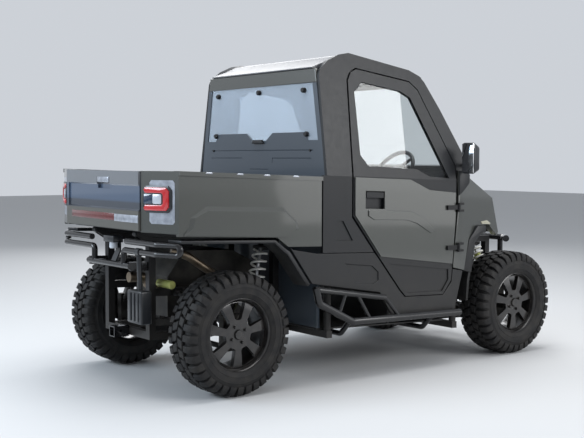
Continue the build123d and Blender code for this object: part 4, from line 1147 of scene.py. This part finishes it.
def gasket(points, width, depth_out, depth_in):
    """A ring inside an outline on the leaning side."""
    shape = bmesh.new()
    lean = [at(x, -(door_half - (z - belt) * side_lean - depth_out), z) for x, z in points]
    middle = shape.faces.new([shape.verts.new(place) for place in lean])
    rim = bmesh.ops.inset_region(shape, faces=[middle], thickness=width, use_boundary=True,
                                 use_even_offset=True)["faces"]
    bmesh.ops.delete(shape, geom=[f for f in shape.faces if f not in rim], context="FACES")
    outwards(shape).faces.ensure_lookup_table()
    if shape.faces[0].normal.y > 0:
        bmesh.ops.reverse_faces(shape, faces=shape.faces)
    bmesh.ops.solidify(shape, geom=shape.faces[:], thickness=depth_in - depth_out)
    return outwards(shape)


def on_doors(name, shape, finish_of):
    """One piece on the right door and its mirror image on the left."""
    return [piece(f"{name}_{hand}", made, f"door_{hand}", finish_of)
            for hand, made in (("left", mirrored(shape)), ("right", shape))]


on_doors("window_gasket", gasket(window, 0.012, 0.006, 0.020), seal_rubber)
print("gaskets round", len(window), "corners")

# %% [markdown]
# ## Swage on the doors
# A pressed line runs forward from the handle and drops towards the lower hinge. It is the edge of a
# shallow raised field, made as a thin plate with a wide bevel that lies on the painted skin.

# %% Door swage
swage_outline = [(0.962, 1.072), (1.104, 1.072), (1.330, 1.068), (1.428, 1.034), (1.545, 0.940),
                 (1.500, 0.930), (1.380, 0.990), (1.290, 1.012), (1.010, 1.012), (0.962, 1.036)]
for made in on_doors("door_swage", side_prism(swage_outline, 0.7225, 0.7150, 0.0060, 3), paint):
    even_shading(made)
    print(made.name, len(made.data.polygons), "faces")

# %% [markdown]
# ## Steering wheel
# The rim is a round profile spun about the wheel's tilted axis, with a turned boss and three arms.

# %% Steering wheel
wheel_hub = at(1.525, -0.330, 1.320)
wheel_axis = Vector((-cos(radians(35)), 0, sin(radians(35))))
grip, ring_radius = 0.014, 0.164
round_steps = [2 * pi * k / 12 for k in range(12)]
grip_ring = spun([(grip * cos(a), ring_radius + grip * sin(a)) for a in round_steps], 64)
boss = spun([(-0.010, 0.0), (-0.010, 0.048), (0.004, 0.046), (0.012, 0.036), (0.014, 0.0)], 32, closed=False)
arms = []
for angle in (0, 135, 225):
    arm = bmesh.new()
    bmesh.ops.create_cube(arm, size=1)
    for v in arm.verts:
        v.co = Vector((v.co.x * (0.024 if v.co.z > 0 else 0.034), v.co.y * 0.010, 0.096 + v.co.z * 0.125))
    bevel_sharp(arm, 0.003)
    arms.append(turned(arm, radians(angle + 90), "Y"))
control = join(grip_ring, boss, *arms)
tilt = wheel_axis.to_track_quat("Y", "Z").to_matrix().to_4x4()
bmesh.ops.transform(control, matrix=Matrix.Translation(wheel_hub) @ tilt, verts=control.verts)
steering = piece("steering_control", control, "steering_wheel", smooth_plastic)
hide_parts("steering_wheel")
print("steering wheel", round(2 * (ring_radius + grip), 3), "m across")

# %% [markdown]
# ## Seats
# Each seat has a padded base and back. A cushion starts as a finely divided cube, laid between four
# corners of its side view. Its face is crowned, its corners pull in, and two seams are drawn down.

# %% Seats
def cushion(outline, wide, crown, seams, seam_depth=0.010, seam_reach=0.12):
    """A padded block from four side-view corners, front face first, with its first side crowned."""
    low_front, high_front, high_back, low_back = [Vector((x, 0, z)) for x, z in outline]
    shape = bmesh.new()
    bmesh.ops.create_cube(shape, size=2)
    bmesh.ops.subdivide_edges(shape, edges=shape.edges, cuts=9, use_grid_fill=True)
    for v in shape.verts:
        u, across, deep = v.co.x, v.co.y, v.co.z
        rise = (u + 1) / 2
        front = low_front.lerp(high_front, rise)
        back = low_back.lerp(high_back, rise)
        outward_way = (front - back).normalized()
        spot_on = back.lerp(front, (deep + 1) / 2)
        bulge = crown * (1 - u ** 4) * (1 - across ** 4) * (deep + 1) / 2
        for seam in seams:
            bulge -= seam_depth * max(0, 1 - abs(across - seam) / seam_reach) * (deep + 1) / 2
        edge = 1 - 0.05 * abs(u * across) ** 3
        spot_on = spot_on + outward_way * bulge
        v.co = at(spot_on.x, across * wide / 2 * edge, spot_on.z)
    bevel_sharp(outwards(shape), 0.012, 3, 60)
    return shape


seat_outlines = {"base": ((0.810, 0.795), (1.270, 0.815), (1.262, 0.690), (0.810, 0.684)),
                 "back": ((0.893, 0.800), (0.815, 1.470), (0.766, 1.480), (0.766, 0.800))}
seat_wide, seat_y = 0.46, 0.330
for hand, name in ((1, "left"), (-1, "right")):
    for part, outline in seat_outlines.items():
        shape = moved(cushion(outline, seat_wide, 0.016, (-0.45, 0.45)), (0, hand * seat_y, 0))
        made = piece(f"seat_{part}_{name}", shape, "chassis", vinyl)
        if made.name == "seat_base_left":
            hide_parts("seats")
        print(made.name, len(made.data.polygons), "faces")

# %% [markdown]
# ## Under the bed
# A heat-stained pipe bends down from the engine past the right damper, rubber boots cover the
# joints of the half shafts, and a gold bottle lies behind the damper.

# %% Pipe and boots
side_pipe = pipe([at(0.140, -0.180, 0.660), at(0.110, -0.300, 0.650), at(0.020, -0.400, 0.680),
                  at(-0.080, -0.425, 0.730), at(-0.190, -0.425, 0.800), at(-0.260, -0.400, 0.815)], 0.024)
piece("side_pipe", side_pipe, "chassis", pipe_steel)
boot_profile = [(0.0, 0.018)]
for fold in range(5):
    start, grow = fold * 0.017, fold * 0.003
    boot_profile += [(start + 0.002, 0.034 + grow), (start + 0.008, 0.036 + grow),
                     (start + 0.013, 0.028 + grow)]
boot_profile += [(0.090, 0.050), (0.094, 0.018)]
boots = [moved(spun(boot_profile, 32, closed=False), (x, 0.330, axle_z)) for x in (rear_x, front_x)]
piece("shaft_boots", both_sides(join(*boots)), "chassis", seal_rubber)
bottle = spun([(0.0, 0.0), (0.0, 0.018), (0.006, 0.024), (0.150, 0.024), (0.158, 0.018), (0.158, 0.0)], 28,
              closed=False)
piece("damper_bottle", moved(bottle, at(-0.235, -0.375, 0.612)), "chassis", damper_gold)
print("pipe, boots and bottle")

# %% Finish
low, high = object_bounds()
print("visual box", [round(v, 3) for v in (*low, *high)])
